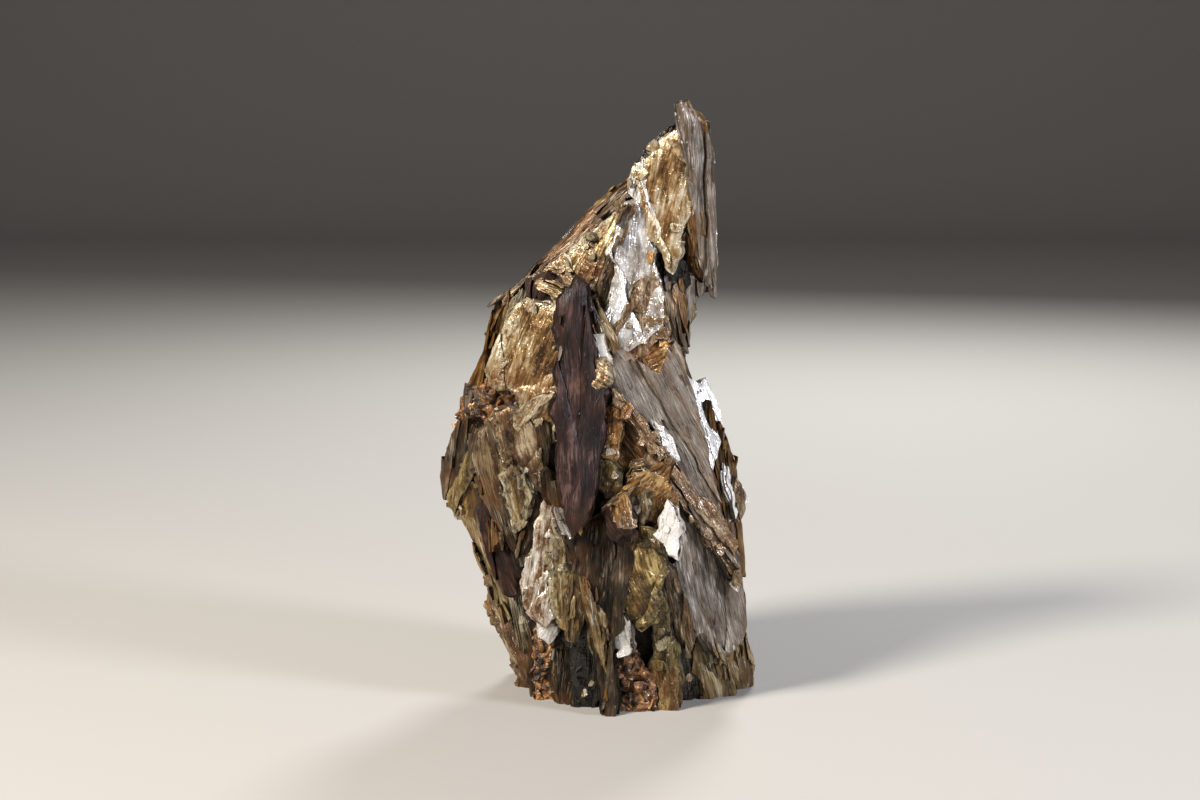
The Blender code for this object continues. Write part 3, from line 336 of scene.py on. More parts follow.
# %% The lower right: a pink plate over a golden bulge, and a broad striated sheet
FRONT += [
    ("pink_plate", "white", 8, dict(proud=11.6, turn=-8, pitch=6, thick=9.0), [
        (17, 46.3), (18.5, 44.7), (19.5, 41.5), (19.9, 37), (19.8, 32.7), (17.5, 33.4),
        (15.5, 36), (13.5, 38.3), (14.9, 42)]),
    ("gold_bulge", "olive", -24, dict(proud=7.0, turn=2, pitch=-2, thick=9.0, crown=2.6, light=10), [
        (10, 39.5), (13, 39.3), (15.1, 36.8), (16.2, 33), (16.3, 27), (15.1, 20.7), (13, 16),
        (10, 14.3), (7.4, 17.2), (6.1, 22), (6.6, 28.3), (7.8, 34.4)]),
    ("right_lower_sheet", "taupe", -13, dict(proud=7.6, turn=22, pitch=4, thick=12.0, litter=0.8), [
        (18, 47), (22, 46.2), (25, 43), (29, 37.5), (33, 32.3), (35.7, 27), (36.6, 20.7),
        (36.6, 15), (35.7, 10.5), (32.5, 8), (29, 8.5), (25.3, 13.6), (22.2, 19.5),
        (19.6, 25.5), (19, 32), (19.4, 38.3)]),
    ("right_foot", "tan", -10, dict(proud=6.4, turn=46, thick=13.0, litter=5), [
        (33.5, 13.5), (36.5, 12.7), (38.4, 10), (39.5, 6), (39.3, 1), (38.5, -9), (32, -9),
        (31.2, 2), (31, 8)]),
    ("olive_leg", "olive", -6, dict(proud=6.6, turn=-10, pitch=-2, thick=10.0, litter=4), [
        (13.8, 24), (16, 23), (17.3, 17), (18.3, 10.7), (19.3, 5), (20, -9), (13.5, -9),
        (12.9, 5), (13.2, 12), (13.9, 18)]),
    ("brown_leg", "brown", -12, dict(proud=8.0, turn=12, pitch=-4, thick=10.0, litter=5), [
        (16, 31), (18.6, 30), (20.8, 24.5), (22.8, 18.3), (23.9, 12), (22.2, 9), (19.7, 13.8),
        (17.6, 20.3), (15.9, 25.7)]),
    ("black_seam", "black", -8, dict(proud=1.2, turn=14, thick=7.0, litter=6), [
        (21, 21.5), (23.8, 20.2), (26, 13.3), (27.6, 8.3), (28, -9), (21.5, -9), (20, 8.3)]),
    ("corner_block", "tan", -14, dict(proud=6.2, turn=16, pitch=2, thick=13.0, litter=5), [
        (25.2, 12.5), (29, 11), (32.3, 9.5), (34.5, 5), (35, -9), (25.5, -9), (25, 4.5)]),
]
print(len(FRONT), "books so far")

# %% The middle foot: a dark slab, splinters and teeth
FRONT += [
    ("brown_rock", "purple", -30, dict(proud=9.0, turn=-4, pitch=8, thick=10.0, litter=5), [
        (0.8, 45), (3.5, 48), (6.7, 46.4), (8.8, 43), (7.8, 38.6), (4.5, 36.5), (1.4, 39.3)]),
    ("amber_nugget", "amber", -10, dict(proud=10.0, turn=10, pitch=4, thick=8.0), [
        (4, 46.7), (6.3, 47.9), (8.3, 45.7), (8.3, 42), (6.4, 40.2), (4.1, 42.4)]),
    ("middle_slab", "umber", 4, dict(proud=7.4, turn=-4, pitch=5, thick=12.0, litter=6), [
        (-6.3, 36), (-3.5, 41), (0, 44.2), (4.5, 42.3), (8.7, 38), (8.4, 32), (7, 25),
        (5.7, 19.3), (3.4, 15.5), (3.2, 9.5), (4, 3), (4, -9), (0.5, -9), (-1.2, 9.5),
        (-2.9, 19.5), (-4.7, 27)]),
    ("silver_chip", "silver", -16, dict(proud=8.6, turn=-10, thick=9.0), [
        (3.1, 17), (5.6, 17.6), (7.2, 13.5), (7.8, 9.5), (5.7, 8.3), (3.8, 11.8)]),
    ("rust_foot", "crumb", 0, dict(proud=6.8, turn=-2, pitch=4, thick=12.0, litter=5), [
        (2.6, 12.5), (5.5, 10), (8.7, 9.5), (10.3, 5.3), (13.2, 2.3), (14, -9), (3.6, -9),
        (2, 6)]),
    ("pale_splinter", "tan", -12, dict(proud=9.4, turn=14, pitch=4, thick=8.0), [
        (-4.7, 27.5), (-2.8, 26.7), (-1.2, 22), (0.3, 15.7), (1.6, 9.5), (2, 5.3), (0.1, 7.4),
        (-2, 13.7), (-4, 20.7)]),
    ("dark_beads", "black", 0, dict(proud=5.2, turn=0, thick=9.0, litter=8), [
        (-6.2, 14.6), (-3.5, 15.4), (-1.8, 12), (-1.3, 7), (-1.5, -9), (-6.8, -9), (-7, 4),
        (-7, 10)]),
    ("base_splinter_left", "umber", -4, dict(proud=6.2, turn=-18, pitch=6, thick=9.0), [
        (-17.5, 12), (-15, 13), (-13.3, 9), (-12.5, 3), (-12.5, -9), (-16.5, -9), (-18, 4)]),
    ("base_splinter_middle", "brown", 3, dict(proud=6.6, turn=6, pitch=5, thick=9.0), [
        (-11.2, 10), (-8.6, 11.2), (-7.2, 6), (-7, -9), (-10.5, -9), (-11.8, 3)]),
    ("tan_tooth", "tan", 5, dict(proud=8.2, turn=-12, pitch=4, thick=9.0, litter=3), [
        (-7.6, 29.5), (-4.4, 29.9), (-4.1, 23.3), (-5.1, 17), (-6.4, 11.5), (-8.6, 12.5),
        (-8.7, 19), (-8.1, 24.5)]),
    ("long_shard", "umber", -14, dict(proud=6.4, turn=12, pitch=5, thick=9.0), [
        (-13.2, 53), (-10.8, 51.5), (-8.3, 46.5), (-6.6, 40), (-4.9, 32), (-3.8, 24),
        (-6, 25), (-7.8, 33.6), (-10.3, 42), (-12.6, 47.3)]),
    ("gold_column", "gold", 2, dict(proud=6.6, turn=14, pitch=4, thick=10.0, crown=0.8, litter=4), [
        (-12, 47), (-9.9, 45.5), (-8.1, 40), (-7.1, 33.3), (-7.1, 25.7), (-7.8, 19.6),
        (-10, 16.3), (-12.2, 18.6), (-13.2, 24.5), (-12.9, 32), (-12.3, 39.5)]),
    ("pale_flake", "silver", -24, dict(proud=8.0, turn=20, pitch=10, thick=6.0), [
        (-10.9, 46), (-9.2, 44.3), (-7.5, 41), (-7.5, 37.5), (-9.6, 39), (-10.9, 42.5)]),
    ("silver_column", "silver_gold", 6,
     dict(proud=7.6, turn=-16, pitch=6, thick=10.0, crown=0.6, light=-90), [
        (-13.4, 47.2), (-11.5, 43.3), (-11.8, 35.7), (-12.4, 28.3), (-12, 22), (-10.7, 16.9),
        (-13.5, 15.3), (-16.5, 17), (-18.8, 20.6), (-19.8, 25), (-18.2, 30.7), (-16.2, 38.3),
        (-14.9, 44)]),
    ("silver_toe", "white", 30, dict(proud=6.8, turn=-6, pitch=-14, thick=9.0), [
        (-16.5, 18), (-13.5, 17), (-10.5, 18.3), (-10.2, 14.4), (-12.5, 11.5), (-15.2, 12.3)]),
    ("toe_rock", "crumb", 0, dict(proud=4.4, turn=-10, pitch=2, thick=12.0, litter=5), [
        (-16.5, 14), (-12, 13), (-7.5, 13.5), (-6.5, 6), (-6.5, -9), (-15.5, -9), (-17, 6)]),
]
print(len(FRONT), "books so far")

# %% The left flank: crumbly rust, fans of striated sheets, and the olive books behind them
FRONT += [
    ("rust_crumb", "crumb", 0,
     dict(proud=3.0, turn=-30, pitch=14, thick=11.0, crown=1.2, litter=6), [
        (-32.5, 75), (-29, 76.2), (-25.5, 75), (-24.3, 71.5), (-26.5, 68.5), (-29, 66.5),
        (-30, 63), (-32.5, 60.8), (-34.6, 64), (-35.9, 69), (-35.5, 72.9)]),
    ("outer_blade", "brown", 16, dict(proud=2.2, turn=-54, thick=10.0, litter=4), [
        (-35.3, 68), (-32.8, 65), (-31, 61.5), (-32.5, 56.5), (-35, 50.5), (-37.3, 46.6),
        (-39, 47.5), (-39.8, 52.5), (-38.6, 59), (-36.8, 64.5)]),
    ("left_olive", "olive", 12, dict(proud=4.4, turn=-38, pitch=-8, thick=11.0, litter=5), [
        (-32.7, 60), (-30.8, 56.5), (-29.8, 52), (-29.5, 47), (-30.2, 41.6), (-33, 40),
        (-35.2, 42.2), (-36.9, 44.8), (-37.7, 47.5), (-35.9, 52)]),
    ("striated_fan", "brown", -20, dict(proud=6.8, turn=-26, pitch=3, thick=11.0, litter=1.5,
                                        light=-10), [
        (-31, 64.3), (-29, 67), (-26.3, 66), (-24.7, 60.7), (-23.4, 53.3), (-22.7, 47),
        (-21.4, 40), (-22.1, 34.4), (-24.5, 36.6), (-27.5, 43), (-30.4, 50.7), (-32.5, 57.5)]),
    ("brown_lobe", "stained", -14,
     dict(proud=4.8, turn=-10, pitch=-3, thick=10.0, crown=1.0, litter=5), [
        (-26.5, 68.5), (-23, 70), (-19.2, 68), (-16.3, 64.2), (-14.3, 59), (-13.2, 53.3),
        (-14.6, 48.2), (-18, 50.6), (-21, 53), (-24.5, 52.5), (-25.5, 60)]),
    ("silver_ripples", "gold", -10, dict(proud=6.2, turn=-8, pitch=-6, thick=9.0), [
        (-24.5, 53.4), (-21.5, 54.8), (-18.3, 53), (-17, 49), (-17.7, 44), (-19.6, 39.7),
        (-21.9, 41.1), (-23.6, 45.7)]),
    # dark_gap_book: a dark book set in a gap, partly umber mica and partly painted shade
    ("dark_gap_book", "umber", -12, dict(proud=1.6, turn=6, thick=8.0, litter=4), [
        (-16.5, 66), (-13, 64.5), (-10.5, 60.7), (-9.5, 52), (-10.5, 46), (-14, 45.5),
        (-15.3, 53.3), (-16.2, 59.5)]),
    ("brown_shard", "brown", 14, dict(proud=3.6, turn=-4, pitch=4, thick=9.0, litter=4), [
        (-17.6, 50.5), (-14, 49.5), (-12.8, 47.5), (-15.3, 41), (-18, 33.5), (-20, 29.5),
        (-20.6, 34), (-18.6, 42)]),
    ("purple_lobe", "purple", -22, dict(proud=5.6, turn=-20, pitch=2, thick=11.0, rough=1.6), [
        (-29.8, 47.5), (-27, 42.3), (-24.3, 37.3), (-22, 35.3), (-19.3, 39.8), (-17.3, 41.8),
        (-17.7, 35.7), (-19.7, 29), (-22, 23.3), (-24.5, 23.8), (-26.8, 28.7), (-28.6, 35.7),
        (-29.8, 41.5)]),
    ("left_gold_strip", "tan", -24, dict(proud=5.0, turn=-34, pitch=-4, thick=10.0, litter=5), [
        (-32.8, 42), (-29.8, 42), (-28, 36.5), (-26.2, 30), (-24, 24), (-22.2, 18.7),
        (-23.2, 16.4), (-25.8, 20), (-28.3, 25.4), (-30.8, 33), (-32.5, 37.5)]),
    ("left_foot", "stained", -20, dict(proud=3.4, turn=-30, pitch=-4, thick=12.0, litter=6), [
        (-28.2, 29.5), (-26.2, 25), (-24.3, 20), (-21, 15), (-17.5, 10), (-15.5, 2),
        (-15.5, -9), (-19.5, -9), (-21.5, 6), (-25, 13), (-28, 19)]),
]
print(len(FRONT), "books so far")

# %% Small books that fill the places between the large ones
FRONT += [
    ("brown_band", "umber", -10, dict(proud=6.8, turn=2, pitch=8, thick=8.0, litter=4), [
        (-4, 98), (-2, 97), (0, 92), (0.9, 87), (0.7, 83), (-0.7, 80), (-2.2, 82), (-2.6, 88),
        (-3.4, 93)]),
    ("plate_root", "crumb", 0, dict(proud=3.4, turn=-26, pitch=6, thick=10.0, litter=5), [
        (-28.5, 76.5), (-24.5, 76), (-20.5, 74), (-18.5, 71.5), (-19.5, 68.5), (-24, 68.5),
        (-28, 71)]),
]
print(len(FRONT), "books on the front")

# %% [markdown]
# ## The books on the flanks and back
#
# These repeat three broken outlines at many sizes. Azimuth is the side that the book is laid out
# from: 90 is the right, 180 the back and 270 the left. across is measured to the right as seen
# from that side. The finishes run through a list, so that neighbours differ.

# %% Broken outlines, one unit wide and one long: a sheet, a splinter and a wedge
SHAPES = [
    [(-0.5, -0.34), (-0.2, -0.5), (0.24, -0.44), (0.36, -0.28), (0.5, -0.2), (0.46, 0.22),
     (0.2, 0.5), (-0.1, 0.44), (-0.3, 0.46), (-0.48, 0.14)],
    [(-0.5, -0.16), (-0.38, -0.38), (-0.1, -0.5), (0.3, -0.42), (0.46, -0.2), (0.5, 0.14),
     (0.3, 0.4), (0.02, 0.5), (-0.3, 0.34), (-0.44, 0.1)],
    [(-0.5, -0.44), (0.0, -0.5), (0.5, -0.4), (0.42, 0.0), (0.34, 0.3), (0.1, 0.5),
     (-0.16, 0.46), (-0.3, 0.2), (-0.44, -0.1)],
]
STRAY_ACROSS, STRAY_ALONG = 0.1, 0.06    # how far a corner strays, as shares of the size
print(len(SHAPES), "outlines")

# %% Round table: azimuth, across, height, width, length, lean, proud, turn, pitch, thick
ROUND = [
    # right side
    (90, 5, 37, 15, 50, 6, 3.8, 4, 7, 12), (90, -11, 44, 10, 24, -6, 2.6, -26, 8, 10),
    (90, 15, 50, 12, 44, 8, 3.8, 26, 8, 11), (90, 7, 62, 10, 20, 14, 1.2, 8, 16, 10),
    (90, -5, 12, 15, 26, -8, 4.2, -8, 0, 12), (90, 10, 10, 13, 28, 12, 4.6, 14, 0, 12),
    (90, -3, 118, 10, 32, 6, 2.4, -8, 4, 7), (90, 6, 108, 12, 22, 10, 1.2, 12, 0, 8),
    (90, -7, 92, 10, 18, -10, 0.2, -16, 2, 8),
    # back right
    (135, 2, 62, 20, 44, -8, 3.2, 4, 13, 12), (135, 2, 110, 13, 34, -10, 2.4, 8, 6, 9),
    (135, -9, 34, 13, 40, 12, 4.4, -14, 4, 12),
    (135, 8, 30, 16, 44, -8, 5.2, 12, 2, 12), (135, -1, 8, 15, 24, 8, 4.2, 0, 0, 12),
    # back
    (180, -10, 98, 18, 60, -14, 5.0, -6, 10, 12), (180, 6, 58, 22, 70, 6, 6.4, 4, 8, 12),
    (180, -19, 118, 10, 34, -10, 3.0, 6, 10, 8), (180, 4, 97, 12, 30, -45, 3.8, 12, 16, 10),
    (180, 18, 70, 12, 32, -14, 4.2, 22, 12, 11), (180, -16, 54, 13, 48, 10, 5.4, -20, 6, 12),
    (180, 20, 42, 15, 42, -6, 4.8, 28, 4, 11), (180, -14, 20, 20, 44, -8, 6.2, -14, -2, 12),
    (180, 3, 14, 15, 30, 12, 5.6, 2, -2, 12), (180, 14, 12, 13, 26, -6, 4.4, 18, -6, 12),
    # back left, where the upper books climb along the ridge
    (225, -5, 103, 13, 30, -42, 2.2, 4, 30, 10), (225, 4, 86, 15, 28, -22, 2.6, 8, 22, 11),
    (225, -2, 58, 20, 58, 8, 5.0, -2, 8, 12), (225, -12, 84, 11, 34, -10, 4.4, -12, 12, 11),
    (225, 10, 48, 12, 32, -10, 3.6, 18, 2, 12), (225, -1, 18, 18, 34, -6, 3.8, 0, -6, 12),
    # left side, where the great cleavage face slopes up to the ridge
    (270, -7, 108, 14, 22, 6, 1.6, -4, 46, 9), (270, -10, 97, 13, 18, -6, 1.2, -14, 38, 9),
    (270, 5, 84, 11, 26, 4, 1.8, 12, 14, 10), (270, -8, 72, 11, 30, -6, 2.0, -14, 12, 11),
    (270, -3, 49, 13, 40, 6, 3.2, 0, 0, 12), (270, 13, 46, 11, 32, -6, 3.8, 26, 0, 11),
    (270, -12, 36, 12, 38, 10, 4.2, -22, -6, 12), (270, 3, 18, 12, 26, -6, 2.0, 6, -12, 12),
    (270, -9, 12, 12, 22, 6, 2.0, -14, -12, 12),
]
ROUND_LOOKS = ["grey", "rust_edge", "brown", "gold", "umber", "taupe", "silver", "brown", "stained",
               "tan", "purple", "olive", "grey", "pale_gold", "stained", "gold", "rust_edge"]
print(len(ROUND), "books on the flanks and back")

# %% [markdown]
# ## Laying a book out
#
# An outline is carried along the lines of sight on to the plane of its book. That way a drawn
# outline covers the same part of the view however the book's face is turned.

# %% Lay out
SIDES_SAMPLED = 180


def core_section(height):
    """The core's middle x and y, half width and half depth at a height."""
    for low, high in zip(CORE, CORE[1:]):
        if height <= high[0]:
            break
    share = min(1.0, max(0.0, (height - low[0]) / (high[0] - low[0])))
    return [a + (b - a) * share for a, b in zip(low[1:], high[1:])]


def core_depth(azimuth, across, height):
    """Where the core's surface lies, seen level from a side; less is nearer."""
    mid_x, mid_y, half_x, half_y = core_section(height)
    turn = math.radians(azimuth)
    right = Vector((math.cos(turn), math.sin(turn)))
    away = Vector((-math.sin(turn), math.cos(turn)))
    tried = []
    for step in range(SIDES_SAMPLED):
        angle = 2 * math.pi * step / SIDES_SAMPLED
        spoke = Vector((half_x * math.cos(angle), half_y * math.sin(angle)))
        point = Vector((mid_x, mid_y)) + spoke
        if spoke.dot(away) <= 0:
            tried.append((abs(point.dot(right) - across), point.dot(away)))
    return min(tried)[1]


def blade_outline(across, height, width, length, lean, seed):
    """One of the broken shapes at a size, with its corners moved a little."""
    dice = random.Random(seed)
    angle = math.radians(lean)
    corners = []
    for x, z in SHAPES[seed % len(SHAPES)]:
        x = (x + dice.uniform(-STRAY_ACROSS, STRAY_ACROSS)) * width
        z = (z + dice.uniform(-STRAY_ALONG, STRAY_ALONG)) * length
        corners.append((across + x * math.cos(angle) + z * math.sin(angle),
                        height + z * math.cos(angle) - x * math.sin(angle)))
    return corners


def sight_line(x, height):
    """The eye, and the direction from it to a place in the view from the front."""
    _, up, aim, eye = sight_frame()
    seen = aim + Vector((x, 0, 0)) + up * (height - EYE_AIM * math.cos(math.radians(EYE_TILT)))
    return eye, seen - eye


def lay_out(outline, azimuth, place):
    """The outline's corners on the book's plane, the plane's normal and the view's turn."""
    mid_x = sum(x for x, _ in outline) / len(outline)
    mid_height = sum(height for _, height in outline) / len(outline)
    turned, raised = math.radians(place["turn"]), math.radians(place.get("pitch", 0.0))
    normal = Vector((math.sin(turned) * math.cos(raised),
                     -math.cos(turned) * math.cos(raised), math.sin(raised)))
    front = core_depth(azimuth, mid_x, mid_height) - place["proud"]
    eye, sight = sight_line(mid_x, mid_height)
    middle = eye + sight * ((front - eye.y) / sight.y)
    corners = []
    for x, height in outline:
        eye, sight = sight_line(x, height)
        corners.append(eye + sight * ((middle - eye).dot(normal) / sight.dot(normal)))
    spin = Matrix.Rotation(math.radians(azimuth), 3, "Z")
    return [spin @ corner for corner in corners], spin @ normal, spin


# %% [markdown]
# ## Noise with numpy
#
# Relief and broken rims need smooth random numbers at tens of thousands of places at once. Blender
# has a noise function for one place at a time; a table of random numbers, blended between its
# entries, does the same for whole arrays in a few lines.

# %% Noise
NOISE_TABLE = 64


def noise(x, y, seed):
    """Smooth random numbers from -1 to 1, about one bump for each unit of x and of y."""
    table = np.random.default_rng(seed).uniform(-1, 1, (NOISE_TABLE, NOISE_TABLE))
    column, row = np.floor(x).astype(int), np.floor(y).astype(int)
    right, up = x - column, y - row
    right, up = right * right * (3 - 2 * right), up * up * (3 - 2 * up)
    column, row = column % NOISE_TABLE, row % NOISE_TABLE
    next_column, next_row = (column + 1) % NOISE_TABLE, (row + 1) % NOISE_TABLE
    low = table[row, column] * (1 - right) + table[row, next_column] * right
    high = table[next_row, column] * (1 - right) + table[next_row, next_column] * right
    return low * (1 - up) + high * up


def terrace(value, steps, steep=4.0):
    """Turn gentle slopes into flats with steep risers between them."""
    level = value * steps
    flat = np.floor(level)
    return (flat + np.clip((level - flat - 0.5) * steep + 0.5, 0, 1)) / steps


sample = noise(np.linspace(0, 50, 2000), np.zeros(2000), 1)
print("noise runs from", round(sample.min(), 2), "to", round(sample.max(), 2))

# %% [markdown]
# ## The relief of a face
#
# Three kinds of surface cover the specimen. Sheet edges are splintered along the grain, like a
# split log. A cleavage face is a flat that has lost part of its top sheets, buckled and crossed
# by small ripples. Crumb is the porous, rusty rock between books. All heights are in millimetres,
# at a place u across and v along the grain.

# %% Relief
def edge_relief(u, v, seed):
    drift = u + 1.1 * noise(u / 9, v / 20, seed)
    swell = noise(drift / 4, v / 10, seed + 3)
    splinters = terrace(noise(drift / 1.9, v / 18, seed + 1), 3, 3.0)
    lines = 1 - 2 * abs(noise(drift / 1.1, v / 12, seed + 2))
    return 0.45 * swell + 0.20 * splinters + 0.08 * lines


def cleavage_relief(u, v, seed):
    buckle = noise(u / 8, v / 14, seed)
    flakes = terrace(noise(u / 3.6, v / 15, seed + 1), 4, 6.0)
    ripples = noise(u / 5, v / 1.6, seed + 2)
    crinkle = noise(u / 1.5, v / 4.0, seed + 3)
    return 0.5 * buckle + 0.34 * flakes + 0.06 * ripples + 0.10 * crinkle


def crumb_relief(u, v, seed):
    lumps = noise(u / 2.6, v / 2.6, seed)
    grains = noise(u / 1.2, v / 1.2, seed + 1)
    pits = -abs(noise(u / 1.7, v / 1.7, seed + 2))
    return 0.9 * lumps + 0.45 * grains + 0.9 * pits


RELIEF = {"edges": edge_relief, "cleavage": cleavage_relief, "crumb": crumb_relief}
STRETCH = {"edges": 3.0, "cleavage": 1.3, "crumb": 1.0}
LOOKS_OF = {"cleavage": ["silver", "white", "silver_gold", "zebra", "pale_gold", "gold", "olive",
                         "stained", "black", "amber"],
            "edges": ["grey", "taupe", "brown", "purple", "rust_edge", "tan", "umber"],
            "crumb": ["crumb"]}
KIND = {look: kind for kind, looks in LOOKS_OF.items() for look in looks}
LOOKS = list(KIND)
print(len(LOOKS), "looks")

# %% [markdown]
# ## The rim of a book
#
# Mica tears along its grain: a side that runs with the grain stays nearly straight, and an end
# that cuts across it is all teeth. Sliding every rim point along the grain by an amount that
# depends only on where it is across the grain gives that, and can't make the rim cross itself.

# %% Rim
def outline_points(corners, spacing, stretch):
    """Places along a closed outline, spacing apart across the grain and stretched along it."""
    places = []
    for here, after in zip(corners, np.roll(corners, -1, axis=0)):
        step = (after - here) / (1.0, stretch)
        count = max(1, round(float(np.hypot(*step)) / spacing))
        places += [here + (after - here) * share / count for share in range(count)]
    return np.array(places)


def tear(places, kind, rough, seed):
    """Break an outline's edge the way this kind of surface breaks."""
    u, v = places[:, 0].copy(), places[:, 1].copy()
    if kind == "edges":
        v += rough * (0.7 * noise(u / 1.3, u * 0, seed) + 0.7 * noise(u / 4, u * 0, seed + 1))
        u += rough * (0.5 * noise(v / 5, v * 0, seed + 2) + 0.25 * noise(v / 1.8, v * 0, seed + 3))
    else:
        v += rough * (0.7 * noise(u / 2.8, u * 0, seed) + 0.35 * noise(u / 1.1, u * 0, seed + 1))
        u += rough * (0.7 * noise(v / 3.0, v * 0, seed + 2) + 0.3 * noise(v / 1.2, v * 0, seed + 3))
    return np.stack([u, v], axis=1)


def inside(points, rim):
    """Which points lie inside a closed outline: those whose ray crosses it an odd number of times."""
    found = np.zeros(len(points), dtype=bool)
    for (x0, y0), (x1, y1) in zip(rim, np.roll(rim, -1, axis=0)):
        if y0 != y1:
            spans = (points[:, 1] < y0) != (points[:, 1] < y1)
            crossing = x0 + (points[:, 1] - y0) * (x1 - x0) / (y1 - y0)
            found ^= spans & (points[:, 0] < crossing)
    return found


def nearest(points, rim):
    """How far each point is from the outline."""
    if not len(points):
        return np.zeros(0)
    gaps = points[:, None, :] - rim[None, :, :]
    return np.sqrt((gaps ** 2).sum(axis=2).min(axis=1))


# %% [markdown]
# ## One sheet or book as a closed mesh
#
# The face is a net of triangles with rows of points along the grain, close together across it and
# far apart along it, because that is how its relief runs. Under the rim the wall goes down in
# layers, each a little further out or in than the last, like the sheets of a torn book. The same
# net closes the hidden root. Two numbers a corner, across and along the sheets, make the UV map
# that every finish follows; on the wall they are depth and length round the rim.

# %% Face net
JITTER = 0.28       # how far a grid point strays, and how near the rim one may lie,
RIM_CLEAR = 0.6     # both as shares of the spacing
WELD = 1e-6


def face_net(rim, spacing, stretch, seed, filled=True):
    """Points inside a rim and the triangles between all of them, or None if the rim crosses
    itself."""
    scale = np.array([1.0, stretch])
    flat_rim = rim / scale
    count = len(rim)
    points = flat_rim
    if filled:
        low, high = flat_rim.min(axis=0), flat_rim.max(axis=0)
        columns = np.arange(low[0] + spacing / 2, high[0], spacing)
        rows = np.arange(low[1] + spacing / 2, high[1], spacing)
        grid = np.stack(np.meshgrid(columns, rows), axis=2).reshape(-1, 2)
        grid += np.random.default_rng(seed).uniform(-JITTER, JITTER, grid.shape) * spacing
        grid = grid[inside(grid, flat_rim)]
        points = np.concatenate([flat_rim, grid[nearest(grid, flat_rim) > spacing * RIM_CLEAR]])
    made = delaunay_2d_cdt([Vector(point) for point in points], [], [list(range(count))], 1,
                           WELD, True)
    if any(len(olds) != 1 for olds in made[3]):
        return None
    order = {olds[0]: new for new, olds in enumerate(made[3])}
    places = np.array([tuple(point) for point in made[0]])
    triangles = np.array([list(face) for face in made[2]])
    triangles = triangles[inside(places[triangles].mean(axis=1), flat_rim)]
    if len(triangles) != 2 * len(points) - count - 2:
        return None
    return places * scale, triangles, [order[number] for number in range(count)]


# %% Wall layers: how deep each starts and how far out it stands
LAYERS = [(0.0, 0.0), (0.5, 0.35), (1.1, 0.15), (1.9, 0.5), (2.9, 0.2), (4.2, 0.55)]
LAYERED, STRAIGHT = 0.6, 0.7    # shares of the thickness: layers start above one, end at the other
LAYER_LEAN = 0.1
TOP_OUT = 0.05
LAYER_WAVE = 0.35
ROOT_IN = 0.8
THIN = 2.5


def outward(rim, reach=2):
    """The direction away from the inside at each rim point, in the plane of the sheet."""
    step = np.roll(rim, -reach, axis=0) - np.roll(rim, reach, axis=0)
    away = np.stack([step[:, 1], -step[:, 0]], axis=1)
    return away / np.maximum(np.hypot(away[:, 0], away[:, 1]), 1e-6)[:, None]


def wall_rings(rim, thick, seed):
    """Rings of rim points going down, as (depth, places)."""
    away = outward(rim)
    round_rim = np.concatenate([[0], np.cumsum(np.hypot(*np.diff(rim, axis=0).T))])
    rings = []
    layers = [layer for layer in LAYERS if layer[0] < thick * LAYERED]
    if thick <= THIN:
        layers = LAYERS[:1]
    for number, (depth, out) in enumerate(layers):
        bottom = layers[number + 1][0] if number + 1 < len(layers) else thick * STRAIGHT
        shift = out + LAYER_WAVE * noise(round_rim / 3, round_rim * 0 + number * 7, seed)
        if number:
            rings.append((depth, rim + away * shift[:, None]))
            rings.append((bottom, rim + away * (shift - LAYER_LEAN)[:, None]))
        elif thick > THIN:
            rings.append((bottom, rim + away * TOP_OUT))
    rings.append((thick, rim - away * ROOT_IN * min(1.0, thick / 4)))
    return rings, round_rim


# %% Tone and painted sheen
OWN_TONE = 0.6
FREE_SLOPE, SET_SLOPE = 0.9, 2.0    # the slope's size where its side is free, and where it is set


def tone_and_sheen_across(places, light, seed):
    """How light a sheet's colour is at each place: its own tone, and a slope from one side to the
    other, partly stain and partly painted sheen. light is the direction that the slope rises to,
    in degrees from the grain."""
    dice = random.Random(seed)
    tone = dice.uniform(-OWN_TONE, OWN_TONE)
    turn = math.radians(dice.uniform(0, 360) if light is None else light)
    way = places @ np.array([math.sin(turn), math.cos(turn)])
    middle, half = (way.max() + way.min()) / 2, max(1.0, (way.max() - way.min()) / 2)
    return tone + (FREE_SLOPE if light is None else SET_SLOPE) * (way - middle) / half


# %% Closed mesh
SHOULDER, SHOULDER_WIDE = 0.9, 1.2    # the edges of a split book are rounded off this far
RIM_DROP, RIM_WIDE = 0.12, 0.4        # and every rim is worn down a little
RIM_FADE = 1.8                        # how far the look of a worn rim reaches in
RELIEF_FADE = 2.5                     # how deep down the wall the face's relief still shows
SOFTER = (1.0, 0.5, 0.2)              # shares of the tearing to try until the rim is clean
MAP_STRIDE, MAP_RANGE = (37, 53), 500    # spread the sheets over the patterns


